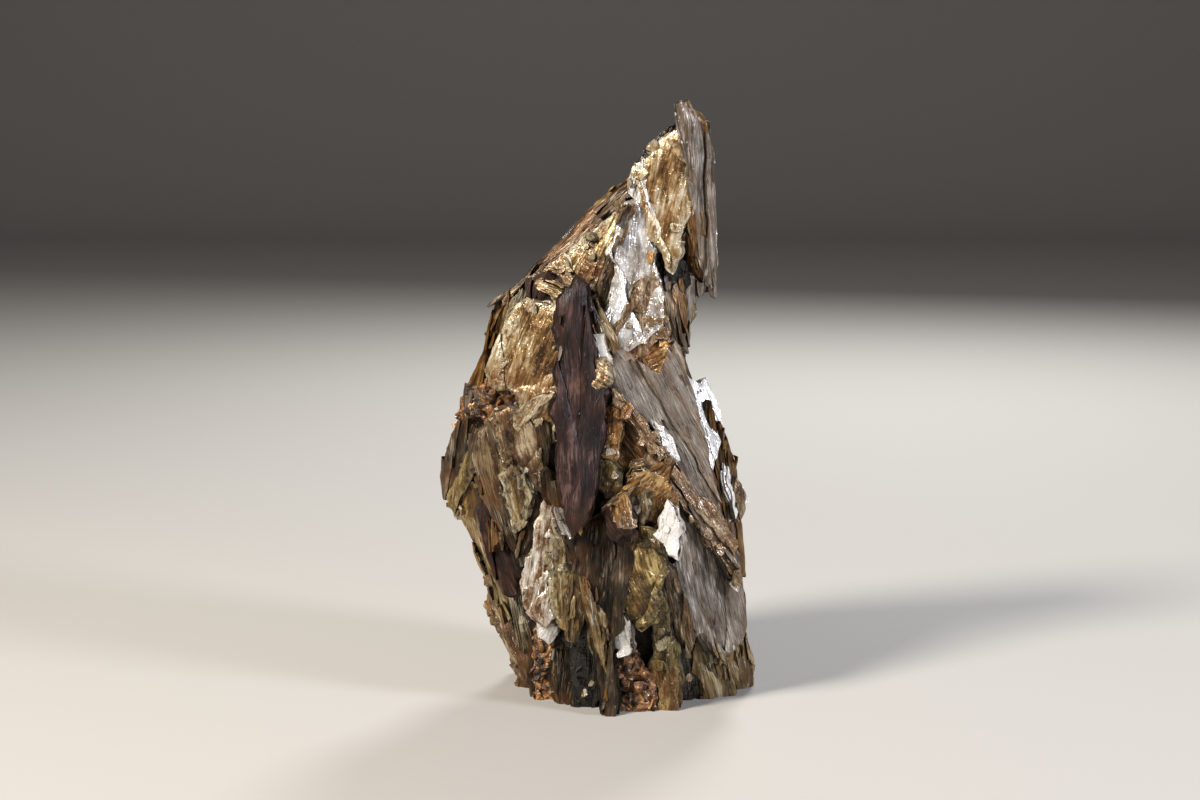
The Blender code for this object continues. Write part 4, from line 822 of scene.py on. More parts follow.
def grow_sheet(name, base, corners, look, thick, crown=0.0, lift=0.0, spacing=0.6, rough=1.0,
               seed=0, group=None, light=None):
    """A closed sheet or book. base is (middle, across, along, normal), corners are its outline
    on the plane, lift raises its face, and light is the side on which it is palest, through a
    slope that is partly stain and partly painted sheen."""
    middle, across, along, normal = base
    kind = KIND[look]
    stretch = STRETCH[kind]
    for softer in SOFTER:
        rim = tear(outline_points(corners, spacing, stretch), kind, rough * softer, seed)
        net = face_net(rim, spacing, stretch, seed)
        cap_net = face_net(rim, spacing, stretch, seed, filled=False)
        if net and cap_net:
            break
    else:
        return None
    places, triangles, order = net
    rim = places[order]
    gap = nearest(places, rim)
    u, v = places[:, 0], places[:, 1]
    reach = max(1.0, gap.max())
    height = RELIEF[kind](u, v, seed % 1000) + lift
    height += crown * (1 - (1 - np.clip(gap / reach, 0, 1)) ** 2) - RIM_DROP * np.exp(-gap / RIM_WIDE)
    if kind == "edges" and thick > THIN:
        height -= SHOULDER * np.exp(-gap / SHOULDER_WIDE)
    rings, round_rim = wall_rings(rim, thick, seed)
    heights = [height]
    for depth, _ in rings:
        faded = min(1.0, depth / RELIEF_FADE)
        heights.append(height[order] * (1 - faded) + lift * faded - depth)
    flat_all = np.concatenate([places] + [ring for _, ring in rings])
    height_all = np.concatenate(heights)
    points = (np.array(middle)[None, :] + flat_all[:, :1] * np.array(across)[None, :]
              + flat_all[:, 1:] * np.array(along)[None, :]
              + height_all[:, None] * np.array(normal)[None, :])
    count = len(rim)
    starts = [None] + [len(places) + count * number for number in range(len(rings))]
    faces = [tuple(face) for face in triangles]
    uv = [places[triangles].reshape(-1, 2)]
    rim_near = [np.exp(-gap[triangles] / RIM_FADE).ravel()]
    edge = [np.zeros(triangles.size)]
    depths = [0.0] + [depth for depth, _ in rings]
    here = np.arange(count)
    after = np.roll(here, -1)
    arc = np.concatenate([round_rim, [round_rim[-1] + spacing]])
    for number in range(len(rings)):
        top = np.array(order) if number == 0 else starts[number] + here
        top_after = top[after]
        low, low_after = starts[number + 1] + here, starts[number + 1] + after
        faces += list(zip(top_after, top, low, low_after))
        span_u = np.array([depths[number], depths[number], depths[number + 1], depths[number + 1]])
        span_v = np.stack([arc[1:], arc[:-1], arc[:-1], arc[1:]], axis=1)
        uv.append(np.stack([np.tile(span_u, (count, 1)), span_v], axis=2).reshape(-1, 2))
        rim_near.append(np.ones(count * 4))
        edge.append(np.ones(count * 4))
    root = starts[-1] + here
    _, cap, cap_order = cap_net
    back = {new: root[old] for old, new in enumerate(cap_order)}
    faces += [tuple(int(back[i]) for i in reversed(face)) for face in cap]
    uv.append(np.zeros((len(cap) * 3, 2)))
    rim_near.append(np.zeros(len(cap) * 3))
    edge.append(np.ones(len(cap) * 3))
    data = bpy.data.meshes.new(name)
    data.from_pydata((points + np.array(TABLE_ORIGIN)) * UNIT, [],
                     [tuple(int(i) for i in face) for face in faces])
    offset = np.array([(seed * stride) % MAP_RANGE for stride in MAP_STRIDE], dtype=float)
    data.uv_layers.new(name="Sheet").uv.foreach_set(
        "vector", (np.concatenate(uv) + offset).ravel())
    corner_vertex = np.zeros(len(data.loops), dtype=int)
    data.loops.foreach_get("vertex_index", corner_vertex)
    # the tone attribute: the book's own tone and a slope across it, partly stain and partly painted
    # sheen
    tone = tone_and_sheen_across(flat_all, light, seed)[corner_vertex]
    for label, values in (("rim", np.concatenate(rim_near)), ("edge", np.concatenate(edge)),
                          ("tone", tone)):
        data.attributes.new(label, "FLOAT", "CORNER").data.foreach_set("value", values)
    data.attributes.new("look", "INT", "FACE").data.foreach_set(
        "value", np.full(len(data.polygons), LOOKS.index(look), dtype=int))
    made = bpy.data.objects.new(name, data)
    group.objects.link(made)
    return made


# %% [markdown]
# ## A book and what is left on it
#
# A broken book seldom has one flat face: part of the top sheets has gone. So each book carries one
# or two thin sheets that cover part of it, cut off along a torn line. They share the book's relief,
# so they lie on it like a page on a page. Round its rim it also carries small chips: flakes on a
# cleavage face, splinters on sheet edges, each tipped a little its own way. Smaller flakes still
# are scattered over the face, thick where the mica is crumbling and sparse where it is clean.

# %% Partial sheets
SHEET_THICK = 1.6
TWO_SHEETS, ONE_SHEET = 150, 40    # square millimetres of a book that carries two sheets or one
SHEET_SEED, CHIP_SEED, FLAKE_SEED = 1000, 5000, 9000
CHIP_DICE, LITTER_DICE = 77, 191


def cut_outline(corners, point, direction):
    """The part of an outline to one side of a line."""
    side = (corners - point) @ direction
    kept = []
    for here, after, a, b in zip(corners, np.roll(corners, -1, axis=0), side, np.roll(side, -1)):
        if a >= 0:
            kept.append(here)
        if (a >= 0) != (b >= 0):
            kept.append(here + (after - here) * (a / (a - b)))
    return np.array(kept)


def grow_partial_sheets(name, base, flat, area, look, crown, spacing, seed, group):
    """Thin sheets left on a book, each torn off along the grain or nearly so."""
    dice = random.Random(seed)
    for number in range(2 if area > TWO_SHEETS else 1 if area > ONE_SHEET else 0):
        turn = dice.uniform(-0.3, 0.3) if KIND[look] == "edges" else dice.uniform(-0.9, 0.9)
        direction = np.array([math.cos(turn), math.sin(turn)]) * dice.choice([-1, 1])
        reach = (flat @ direction).max()
        cut = cut_outline(flat * 0.97, direction * reach * dice.uniform(0.05, 0.6), direction)
        if len(cut) > 2:
            grow_sheet(f"{name}_sheet_{number}", base, cut, look, SHEET_THICK, crown,
                       dice.uniform(0.3, 0.6) * (number + 1), spacing, 0.8,
                       seed + SHEET_SEED * (number + 1), group)


# %% Chips
CHIP_EVERY = 9.0    # millimetres of rim to a chip
CHIP_THICK = 1.9
CLEAR_TOP = 6.0     # no chip comes this near to the summit
CHIP_TIP = (7, 12)  # how far a chip tips, end to end and side to side, in degrees
CHIP_SHARE = {"white": 0.0, "silver": 0.35, "zebra": 0.4, "silver_gold": 0.6, "purple": 0.5,
              "black": 0.0}
PARTNERS = {
    "silver": ["silver", "silver", "silver", "pale_gold", "white"],
    "white": ["white", "white", "silver"],
    "zebra": ["zebra", "zebra", "silver", "black"],
    "silver_gold": ["silver_gold", "silver_gold", "silver", "pale_gold", "stained"],
    "pale_gold": ["pale_gold", "pale_gold", "silver", "gold", "stained"],
    "gold": ["gold", "gold", "pale_gold", "stained", "olive"],
    "olive": ["olive", "olive", "gold", "silver_gold", "stained"],
    "stained": ["stained", "stained", "gold", "amber", "silver_gold"],
    "amber": ["amber", "amber", "gold", "pale_gold", "stained"],
    "black": ["black", "black", "umber"],
    "grey": ["grey", "grey", "grey", "taupe"],
    "taupe": ["taupe", "taupe", "taupe", "grey", "tan"],
    "brown": ["brown", "brown", "umber", "taupe"],
    "purple": ["purple"],
    "rust_edge": ["rust_edge", "rust_edge", "brown", "tan"],
    "tan": ["tan", "tan", "brown", "rust_edge"],
    "umber": ["umber", "umber", "brown", "rust_edge"],
    "crumb": ["crumb", "stained"],
}
CHIP_LOOKS = {"edges": ["tan", "rust_edge", "brown", "umber"],
              "cleavage": ["silver_gold", "pale_gold", "stained", "amber"], "crumb": ["crumb"]}


def lay_piece(name, base, spot, tip, outline, look, thick, lift, spacing, rough, seed, group):
    """A small piece on a book's plane at a spot, tipped by two angles in degrees."""
    middle, across, along, normal = base
    turn = (Matrix.Rotation(math.radians(tip[0]), 3, across)
            @ Matrix.Rotation(math.radians(tip[1]), 3, along))
    own_base = (middle + across * float(spot[0]) + along * float(spot[1]),
                turn @ across, turn @ along, turn @ normal)
    grow_sheet(name, own_base, np.array(outline), look, thick, 0.0, lift, spacing, rough, seed,
               group)


def grow_chips(name, base, flat, look, spacing, seed, group):
    """Small torn pieces round the rim of a book."""
    middle, across, along, _ = base
    dice = random.Random(seed + CHIP_DICE)
    kind = KIND[look]
    rim = outline_points(flat, 1.0, 1.0)
    away = outward(rim)
    for number in range(int(len(rim) / CHIP_EVERY * CHIP_SHARE.get(look, 1.0))):
        pick = dice.randrange(len(rim))
        spot = rim[pick] - away[pick] * dice.uniform(0.2, 2.6)
        if kind == "edges":
            size = (dice.uniform(0.6, 1.5), dice.uniform(3.0, 8.0))
            swing = dice.gauss(0, 6)
        else:
            size = (dice.uniform(1.4, 3.6), dice.uniform(1.8, 5.5))
            swing = dice.uniform(0, 180)
        top = middle.z + across.z * spot[0] + along.z * spot[1] + size[1] / 2
        if top > TABLE_HEIGHT - CLEAR_TOP:
            continue
        outline = blade_outline(0, 0, *size, swing, dice.randrange(900))
        tip = [dice.gauss(0, most) for most in CHIP_TIP]
        chip_look = look if dice.random() < 0.6 else dice.choice(PARTNERS[look] + CHIP_LOOKS[kind])
        lay_piece(f"{name}_chip_{number}", base, spot, tip, outline, chip_look, CHIP_THICK,
                  dice.uniform(0.1, 0.55), spacing, 0.6, seed + CHIP_SEED + number, group)


# %% Litter
LITTER = 2.5
FLAKE_THICK = 1.6
FLAKE_SIZE = (0.9, 2.6)
FLAKE_TIP = (11, 18)
CLEAR_SUMMIT = 8.0


def grow_litter(name, base, flat, look, amount, spacing, seed, group):
    """Small flakes scattered over a face, so many to the square centimetre."""
    middle, _, along, _ = base
    dice = random.Random(seed + LITTER_DICE)
    kind = KIND[look]
    low, high = flat.min(axis=0), flat.max(axis=0)
    tries = int(amount * np.prod(high - low) / 100)
    for number in range(tries):
        spot = np.array([dice.uniform(low[0], high[0]), dice.uniform(low[1], high[1])])
        size = dice.uniform(*FLAKE_SIZE)
        if kind == "edges":
            shape = (size * 0.36, size * 1.9)
        else:
            shape = (size, size * dice.uniform(0.8, 1.8))
        swing = dice.gauss(0, 8) if kind == "edges" else dice.uniform(0, 180)
        tip = [dice.gauss(0, most) for most in FLAKE_TIP]
        others = PARTNERS[look] if kind == "edges" else PARTNERS[look] + CHIP_LOOKS[kind]
        pick, choice = dice.random(), dice.choice(others)
        shape_seed = dice.randrange(900)
        too_high = middle.z + along.z * spot[1] > TABLE_HEIGHT - CLEAR_SUMMIT
        if too_high or not inside(spot[None, :], flat * 0.94)[0]:
            continue
        lay_piece(f"{name}_flake_{number}", base, spot, tip,
                  blade_outline(0, 0, *shape, swing, shape_seed), look if pick < 0.5 else choice,
                  FLAKE_THICK, 0.5 + 0.3 * pick, spacing * 1.2, 0.5, seed + FLAKE_SEED + number,
                  group)


# %% Books
CROWN_SHARE = 0.6


def grow_book(name, look, grain, spin, corners, normal, place, seed, spacing, group):
    """A book with its partial sheets, chips and flakes; False if its rim crosses itself."""
    angle = math.radians(grain)
    along = spin @ Vector((math.sin(angle), 0, math.cos(angle)))
    along = (along - normal * along.dot(normal)).normalized()
    across = along.cross(normal)
    middle = sum(corners, Vector()) / len(corners)
    flat = np.array([((corner - middle).dot(across), (corner - middle).dot(along))
                     for corner in corners])
    area = 0.5 * sum(a[0] * b[1] - b[0] * a[1] for a, b in zip(flat, np.roll(flat, -1, axis=0)))
    if area < 0:
        flat = flat[::-1]
    base = (middle, across, along, normal)
    crown = place.get("crown", 0.0) * CROWN_SHARE
    made = grow_sheet(name, base, flat, look, place["thick"], crown, 0.0, spacing,
                      place.get("rough", 1.0), seed, group, place.get("light"))
    if made is None:
        return False
    grow_partial_sheets(name, base, flat, abs(area), look, crown, spacing, seed, group)
    grow_chips(name, base, flat, look, spacing, seed, group)
    grow_litter(name, base, flat, look, place.get("litter", LITTER), spacing, seed, group)
    return True


# %% [markdown]
# ## No gaps between neighbours
#
# Books that grew together have no trenches between them: the lower one runs on beneath the higher.
# So each front outline is moved out wherever a neighbour that stands nearer covers the place.

# %% Growing under a neighbour
UNDER = 2.4
CORNER_EVERY = 2.5
FEEL = 1.2          # how far outside a rim a neighbour still counts as beside it


def reach_along(place, plane):
    """How far along the line of sight a plane is met, as a share of the line."""
    eye, sight = sight_line(float(place[0]), float(place[1]))
    return (plane[0] - eye).dot(plane[1]) / sight.dot(plane[1])


def grow_under(number, planes, outlines):
    """A front outline, moved out beneath the neighbours that stand nearer."""
    corners = outline_points(outlines[number], CORNER_EVERY, 1.0)
    turning = corners * np.roll(corners[:, ::-1], -1, axis=0)
    side = 1 if (turning[:, 0] - turning[:, 1]).sum() > 0 else -1
    moved = corners + outward(corners, 1) * UNDER * side
    covered = np.zeros(len(corners), dtype=bool)
    for other, outline in enumerate(outlines):
        if other != number:
            felt = corners + outward(corners, 1) * FEEL * side
            for spot in np.flatnonzero(inside(felt, outline)):
                ahead = reach_along(moved[spot], planes[other])
                covered[spot] |= ahead < reach_along(moved[spot], planes[number])
    return np.where(covered[:, None], moved, corners)


# %% Grow the books
FRONT_SPACING = 0.55
ROUND_SPACING = 0.8
SPLIT_AT = 62.0    # books whose middle is higher belong to the upper piece
FRONT_SEED, ROUND_SEED = 100, 300


def new_collection(name):
    group = bpy.data.collections.new(name)
    bpy.context.scene.collection.children.link(group)
    return group


upper_books, lower_books = new_collection("upper_books"), new_collection("lower_books")
outlines = [np.array(row[4], dtype=float) for row in FRONT]
planes = []
for name, look, grain, place, outline in FRONT:
    corners, normal, spin = lay_out(outline, 0.0, place)
    planes.append((corners[0], normal))
for number, (name, look, grain, place, outline) in enumerate(FRONT):
    under = outlines[number] if place.get("alone") else grow_under(number, planes, outlines)
    group = upper_books if outlines[number][:, 1].mean() > SPLIT_AT else lower_books
    corners, normal, spin = lay_out(outline, 0.0, place)
    corners = [eye + sight * reach for (eye, sight), reach in
               [(sight_line(*map(float, spot)), reach_along(spot, planes[number]))
                for spot in under]]
    if not grow_book(name, look, grain, spin, corners, normal, place, FRONT_SEED + number,
                     FRONT_SPACING, group):
        corners, normal, spin = lay_out(outline, 0.0, place)
        print(name, "keeps its drawn outline:",
              grow_book(name, look, grain, spin, corners, normal, place, FRONT_SEED + number,
                        FRONT_SPACING, group))
round_books = new_collection("round_books")
for number, row in enumerate(ROUND):
    azimuth, across, height, width, length, lean, proud, turn, pitch, thick = row
    place = dict(proud=proud, turn=turn, pitch=pitch, thick=thick)
    corners, normal, spin = lay_out(blade_outline(across, height, width, length, lean, number),
                                    azimuth, place)
    grow_book(f"round_{number:02d}", ROUND_LOOKS[number % len(ROUND_LOOKS)], lean, spin, corners,
              normal, place, ROUND_SEED + number, ROUND_SPACING, round_books)

# %% [markdown]
# ## The core
#
# The core is a lofted skin: rings of points, each moved in and out by noise that is stretched
# upwards, so that it looks like close-grown edges where it shows.

# %% Core
CORE_STEP = 1.6
CORE_AROUND = 110
CORE_RELIEF = 1.4
CORE_IN = 0.6     # the skin's middle lies this far inside the drawn sections
TIP_FADE = 8.0    # the relief fades out over this much of the tip
TIP_DROP = 7.0    # a core moved in by a distance ends this many times the distance lower


def grow_core(name, shrink):
    """The core as a closed mesh, its skin moved in by a distance."""
    tip = CORE[-1][0]
    heights = np.arange(CORE[0][0], tip + 0.01 - shrink * TIP_DROP, CORE_STEP)
    angles = np.arange(CORE_AROUND) * 2 * math.pi / CORE_AROUND
    points, uv = [], []
    for height in heights:
        mid_x, mid_y, half_x, half_y = core_section(float(height))
        arc = angles * (half_x + half_y) / 2
        depth = edge_relief(arc, np.full(CORE_AROUND, height) * 0.8, 5) * CORE_RELIEF - CORE_IN
        depth = depth * np.clip((tip - height) / TIP_FADE, 0, 1) - shrink
        points.append(np.stack([mid_x + np.cos(angles) * (half_x + depth),
                                mid_y + np.sin(angles) * (half_y + depth),
                                np.full(CORE_AROUND, height)], axis=1))
        uv.append(np.stack([arc, np.full(CORE_AROUND, height)], axis=1))
    points, uv = np.concatenate(points), np.concatenate(uv)
    here = np.arange(CORE_AROUND)
    after = np.roll(here, -1)
    faces = []
    for ring in range(len(heights) - 1):
        low, high = ring * CORE_AROUND, (ring + 1) * CORE_AROUND
        faces += list(zip(low + here, low + after, high + after, high + here))
    faces.append(tuple(here[::-1]))
    faces.append(tuple((len(heights) - 1) * CORE_AROUND + here))
    data = bpy.data.meshes.new(name)
    data.from_pydata((points + np.array(TABLE_ORIGIN)) * UNIT, [],
                     [tuple(int(i) for i in face) for face in faces])
    corner_vertex = np.zeros(len(data.loops), dtype=int)
    data.loops.foreach_get("vertex_index", corner_vertex)
    data.uv_layers.new(name="Sheet").uv.foreach_set("vector", uv[corner_vertex].ravel())
    for label in ("rim", "edge", "tone"):
        data.attributes.new(label, "FLOAT", "CORNER")
    data.attributes.new("look", "INT", "FACE").data.foreach_set(
        "value", np.full(len(data.polygons), LOOKS.index("umber"), dtype=int))
    made = bpy.data.objects.new(name, data)
    bpy.context.scene.collection.objects.link(made)
    return made


# %% [markdown]
# ## Growing together
#
# A Boolean modifier can take a whole collection at once. The Manifold solver is the fast one, and
# it carries the UV map and the attributes of every book through the union. One mesh of all the
# books would be too heavy, so the upper front, the lower front and the sides and back make a piece
# each. Every piece has a core of its own, and each core lies a little inside the one before, so
# that no two skins fall together. A block cuts all three off flat where the specimen stands.

# %% Union
GROUND_BLOCK = (0.4, 0.4, 0.1)    # metres, wider than the specimen
PIECES = [("mica_upper", 0.0, upper_books), ("mica_lower", 0.4, lower_books),
          ("mica_round", 0.8, round_books)]


def select_only(target):
    """Select one object and make it the active one, as operators need."""
    bpy.ops.object.select_all(action="DESELECT")
    bpy.context.view_layer.objects.active = target
    target.select_set(True)


def apply_boolean(target, operation, cutter):
    """Join a cutter to a target, or take it away; the cutter is an object or a collection."""
    modifier = target.modifiers.new("grow", "BOOLEAN")
    modifier.operation = operation
    modifier.solver = "MANIFOLD"
    if isinstance(cutter, bpy.types.Collection):
        modifier.operand_type = "COLLECTION"
        modifier.collection = cutter
    else:
        modifier.object = cutter
    select_only(target)
    bpy.ops.object.modifier_apply(modifier="grow")


bpy.ops.mesh.primitive_cube_add(size=1.0, location=(0, 0, -GROUND_BLOCK[2] / 2))
ground = bpy.context.object
ground.scale = GROUND_BLOCK
bpy.ops.object.transform_apply(location=True, rotation=False, scale=True)
pieces = []
for name, shrink, group in PIECES:
    piece = grow_core(name, shrink)
    apply_boolean(piece, "UNION", group)
    apply_boolean(piece, "DIFFERENCE", ground)
    for thing in list(group.objects):
        bpy.data.objects.remove(thing)
    bpy.data.collections.remove(group)
    pieces.append(piece)
    print(name, len(piece.data.polygons), "faces")
bpy.data.objects.remove(ground)

# %% [markdown]
# ## Filling the hollows shut inside
#
# Where books meet, the union leaves small bubbles that no one can see. The specimen's own skin is
# by far the largest connected group of faces, so everything else goes.

# %% Outer skin only
def keep_outer_skin(target):
    """Delete all groups of joined faces but the largest, and cut what stays into triangles."""
    mesh = bmesh.new()
    mesh.from_mesh(target.data)
    left = set(mesh.faces)
    groups = []
    while left:
        group = [left.pop()]
        for face in group:
            for edge in face.edges:
                for other in edge.link_faces:
                    if other in left:
                        left.remove(other)
                        group.append(other)
        groups.append(group)
    groups.sort(key=len, reverse=True)
    for group in groups[1:]:
        walls = {vert for face in group for vert in face.verts}
        bmesh.ops.delete(mesh, geom=list(walls), context="VERTS")
    bmesh.ops.delete(mesh, geom=[vert for vert in mesh.verts if not vert.link_faces],
                     context="VERTS")
    bmesh.ops.triangulate(mesh, faces=mesh.faces)
    mesh.normal_update()
    mesh.to_mesh(target.data)
    mesh.free()
    return len(groups)


for piece in pieces:
    print(piece.name, keep_outer_skin(piece), "shells,", len(piece.data.polygons), "triangles left")

# %% [markdown]
# ## How deep in a hollow each point is
#
# Dirt and rust gather in the gaps between books, and light doesn't, so the finishes darken them
# with dirt and painted shade together. From each point a few rays go out over the half space
# above the surface; the share of them that soon hits something is kept as an attribute, which
# the finishes read.

# %% Hollow attribute
HOLLOW_RAYS = 12
HOLLOW_REACH = 14.0
RAY_START = 0.0002    # metres off the surface, so that a ray doesn't hit its own face


def measure_hollows(targets):
    """Keep on each point the share of its rays that soon hit the specimen, nearer ones more."""
    points, faces = [], []
    for target in targets:
        start = len(points)
        points += [vert.co.copy() for vert in target.data.vertices]
        faces += [tuple(index + start for index in face.vertices) for face in target.data.polygons]
    tree = BVHTree.FromPolygons(points, faces)
    golden = math.pi * (3 - math.sqrt(5))
    rays = []
    for number in range(HOLLOW_RAYS):
        height = 1 - (number + 0.5) * 2 / HOLLOW_RAYS
        radius = math.sqrt(1 - height * height)
        rays.append(Vector((radius * math.cos(golden * number), radius * math.sin(golden * number),
                            height)))
    reach = HOLLOW_REACH * UNIT
    for target in targets:
        values = []
        for vert in target.data.vertices:
            normal = vert.normal
            start = vert.co + normal * RAY_START
            hits, weight = 0.0, 0.001
            for ray in rays:
                lean = ray.dot(normal)
                if lean < 0:
                    ray = ray - normal * 2 * lean
                    lean = -lean
                weight += lean
                found = tree.ray_cast(start, ray, reach)
                if found[0] is not None:
                    hits += lean * (1 - found[3] / reach)
            values.append(hits / weight)
        target.data.attributes.new("hollow", "FLOAT", "POINT").data.foreach_set("value", values)
        print(target.name, "hollowness, a tenth, half and nine tenths of the points below",
              np.percentile(values, [10, 50, 90]).round(2).tolist())


measure_hollows(pieces)

# %% [markdown]
# ## Nodes
#
# Every finish is a small network. One function adds a node, sets it up and links its inputs, so
# that a network reads as a list of steps. Colours are written as they look on a screen and turned
# into the linear values that light adds up in.

# %% Node helper and colours
def linear(hex_colour):
    """A screen colour such as C9C5BC as a linear RGBA colour."""
    parts = [int(hex_colour[start:start + 2], 16) / 255 for start in (0, 2, 4)]
    return tuple(part / 12.92 if part <= 0.04045 else ((part + 0.055) / 1.055) ** 2.4
                 for part in parts) + (1.0,)


def add(tree, kind, inputs=None, take=0, stops=(), **settings):
    """Add a shader node and give one of its outputs. An input's value is a plain value, a hex
    colour or a socket to link from, stops are a ramp's (position, hex colour) pairs, and take is
    the output's name or number."""
    made = tree.nodes.new("ShaderNode" + kind)
    for label, value in settings.items():
        setattr(made, label, value)
    for label, value in (inputs or {}).items():
        if isinstance(value, bpy.types.NodeSocket):
            tree.links.new(value, made.inputs[label])
        else:
            made.inputs[label].default_value = linear(value) if isinstance(value, str) else value
    for number, (position, colour) in enumerate(stops):
        elements = made.color_ramp.elements
        element = elements[number] if number < 2 else elements.new(position)
        element.position, element.color = position, linear(colour)
    return made.outputs[take] if made.outputs else None


print("C9C5BC is", [round(part, 3) for part in linear("C9C5BC")])

# %% [markdown]
# ## Patterns on the sheets
#
# Mica's marks all run with its grain, so nearly every pattern here is one noise texture squeezed
# across the grain and drawn out along it. Thin cracks are the places where such a noise passes its
# middle value. Facets are the cells of a Voronoi texture: each cell's random colour is used as the
# slope of a tilted plane, which is what makes mica flash patch by patch as it is turned.

# %% Patterns
def pattern(tree, place, across, along, detail=2.0, roughness=0.55, distortion=0.0, shift=0.0):
    """Noise with bumps of a size in millimetres across and along the sheets."""
    scaled = add(tree, "Mapping", {"Vector": place, "Location": (shift, shift * 0.7, 0),
                                   "Scale": (1 / across, 1 / along, 1)})
    return add(tree, "TexNoise",
               {"Vector": scaled, "Scale": 1.0, "Detail": detail, "Roughness": roughness,
                "Distortion": distortion})


def stain(tree, shared, size, low, high, seed=0.0):
    """A share from 0 to 1 in patches of a size in millimetres that run across all books."""
    scaled = add(tree, "Mapping", {"Vector": shared["object"], "Location": (seed, seed, seed),
                                   "Scale": (1000 / size,) * 3})
    clouds = add(tree, "TexNoise", {"Vector": scaled, "Scale": 1.0, "Detail": 3.0,
                                    "Roughness": 0.6})
    return add(tree, "MapRange", {0: clouds, 1: low, 2: high})


def wander(tree, place, reach):
    """The sheets' coordinates, swung across the grain by up to a reach in millimetres."""
    swing = pattern(tree, place, 9.0, 26.0, 1.0, 0.5, 0.0, 71.0)
    shift = add(tree, "MapRange", {0: swing, 1: 0.3, 2: 0.7, 3: -reach, 4: reach})
    moved = add(tree, "CombineXYZ", {0: shift})
    return add(tree, "VectorMath", {0: place, 1: moved}, operation="ADD")


def thin_lines(tree, place, across, along, width, shift):
    """Cracks that run along the grain, where a slow noise passes its middle value."""
    slow = pattern(tree, place, across, along, 2.0, 0.6, 0.3, shift)
    off = add(tree, "Math", {0: slow, 1: 0.5}, operation="SUBTRACT")
    gap = add(tree, "Math", {0: off}, operation="ABSOLUTE")
    return add(tree, "MapRange", {0: gap, 1: 0.0, 2: width, 3: 1.0, 4: 0.0})


def facets(tree, place, across, along):
    """Tilted facets of a size: their height for a slope of one, and two random tones."""
    scaled = add(tree, "Mapping", {"Vector": place, "Scale": (1 / across, 1 / along, 1)})
    middle = add(tree, "TexVoronoi", {"Vector": scaled, "Scale": 1.0}, "Position",
                 voronoi_dimensions="2D")
    colour = middle.node.outputs["Color"]
    offset = add(tree, "VectorMath", {0: scaled, 1: middle}, operation="SUBTRACT")
    lean = add(tree, "VectorMath", {0: colour, 1: (0.5, 0.5, 0.5)}, operation="SUBTRACT")
    level = add(tree, "VectorMath", {0: offset, 1: lean}, "Value", operation="DOT_PRODUCT")
    height = add(tree, "Math", {0: level, 1: across}, operation="MULTIPLY")
    red = add(tree, "SeparateColor", {0: colour})
    return height, red, red.node.outputs[1]


def weigh(tree, *pairs):
    """The sum of values, each times its weight."""
    total = 0.0
    for value, weight in pairs:
        total = add(tree, "Math", {0: value, 1: weight, 2: total}, operation="MULTIPLY_ADD")
    return total


def spread(stops, low, high):
    """Colours as a ramp's stops, evenly spaced from a low place to a high one."""
    return [(low + (high - low) * number / (len(stops) - 1), stop)
            for number, stop in enumerate(stops)]


# %% [markdown]
# ## What all the finishes share
#
# The sheet map gives millimetres across and along the grain, and on a book's wall depth and length
# round the rim. The attributes say how near the rim a point is, whether it is on a wall, how the
# book's tone differs from its neighbours' and pales to one side (partly stain, partly painted
# sheen) and how deep in a hollow it lies. Rust lies in patches that cross from book to book, and
# the hollows are darkened with dirt and painted shade together.

# %% Start of a finish
MICA_IOR = 1.58
RUST = "7A4A20"
# dirt and painted shade in the hollows: how much at most, and over which hollowness it comes in
MOST_DIRT_AND_SHADE = 0.95
DIRT_AND_SHADE_FROM, DIRT_AND_SHADE_FULL = 0.42, 0.76


def start_finish(name):
    """A new material with its shader and the shared sockets."""
    material = bpy.data.materials.new(name)
    material.use_nodes = True
    tree = material.node_tree
    tree.nodes.clear()
    surface = add(tree, "BsdfPrincipled", {"IOR": MICA_IOR})
    add(tree, "OutputMaterial", {"Surface": surface})
    shared = {"sheet": add(tree, "UVMap", take="UV", uv_map="Sheet"),
              "object": add(tree, "TexCoord", take="Object")}
    for label in ("rim", "edge", "tone", "hollow"):
        shared[label] = add(tree, "Attribute", take="Fac", attribute_name=label)
    return material, tree, surface.node, shared


def rust_dirt_and_shade(tree, shared, colour, rust, dirt_and_shade):
    """Lay rust, and dirt with painted shade in the hollows, over a colour; gives it and the hollowness.
    """
    patches = stain(tree, shared, 14.0, 0.48, 0.64, 4.0)
    rusty = add(tree, "Math", {0: patches, 1: rust}, operation="MULTIPLY")
    colour = add(tree, "Mix", {0: rusty, 6: colour, 7: RUST}, 2, data_type="RGBA")
    # painted shade with dirt: the deeper a point lies in a hollow, the more of the dark colour covers it
    deep = add(tree, "MapRange", {0: shared["hollow"], 1: DIRT_AND_SHADE_FROM, 2: DIRT_AND_SHADE_FULL})
    dirt_and_shade_share = add(tree, "Math", {0: deep, 1: MOST_DIRT_AND_SHADE}, operation="MULTIPLY")
    return add(tree, "Mix", {0: dirt_and_shade_share, 6: colour, 7: dirt_and_shade}, 2, data_type="RGBA"), deep


def gather_glints(tree, shared, place, across, along, glints):
    """Where painted glints go: fine noise passes a level that falls in clusters and at the rim."""
    fine = pattern(tree, place, across, along, 2.0, 0.7, 0.3, 41.0)
    cluster = pattern(tree, place, 2.6, 4.5, 2.0, 0.6, 0.0, 83.0)
    lifted = weigh(tree, (fine, 1.0), (cluster, 0.55), (shared["rim"], 0.035))
    return add(tree, "MapRange", {0: lifted, 1: 1.02 - 0.06 * glints, 2: 1.07 - 0.06 * glints})


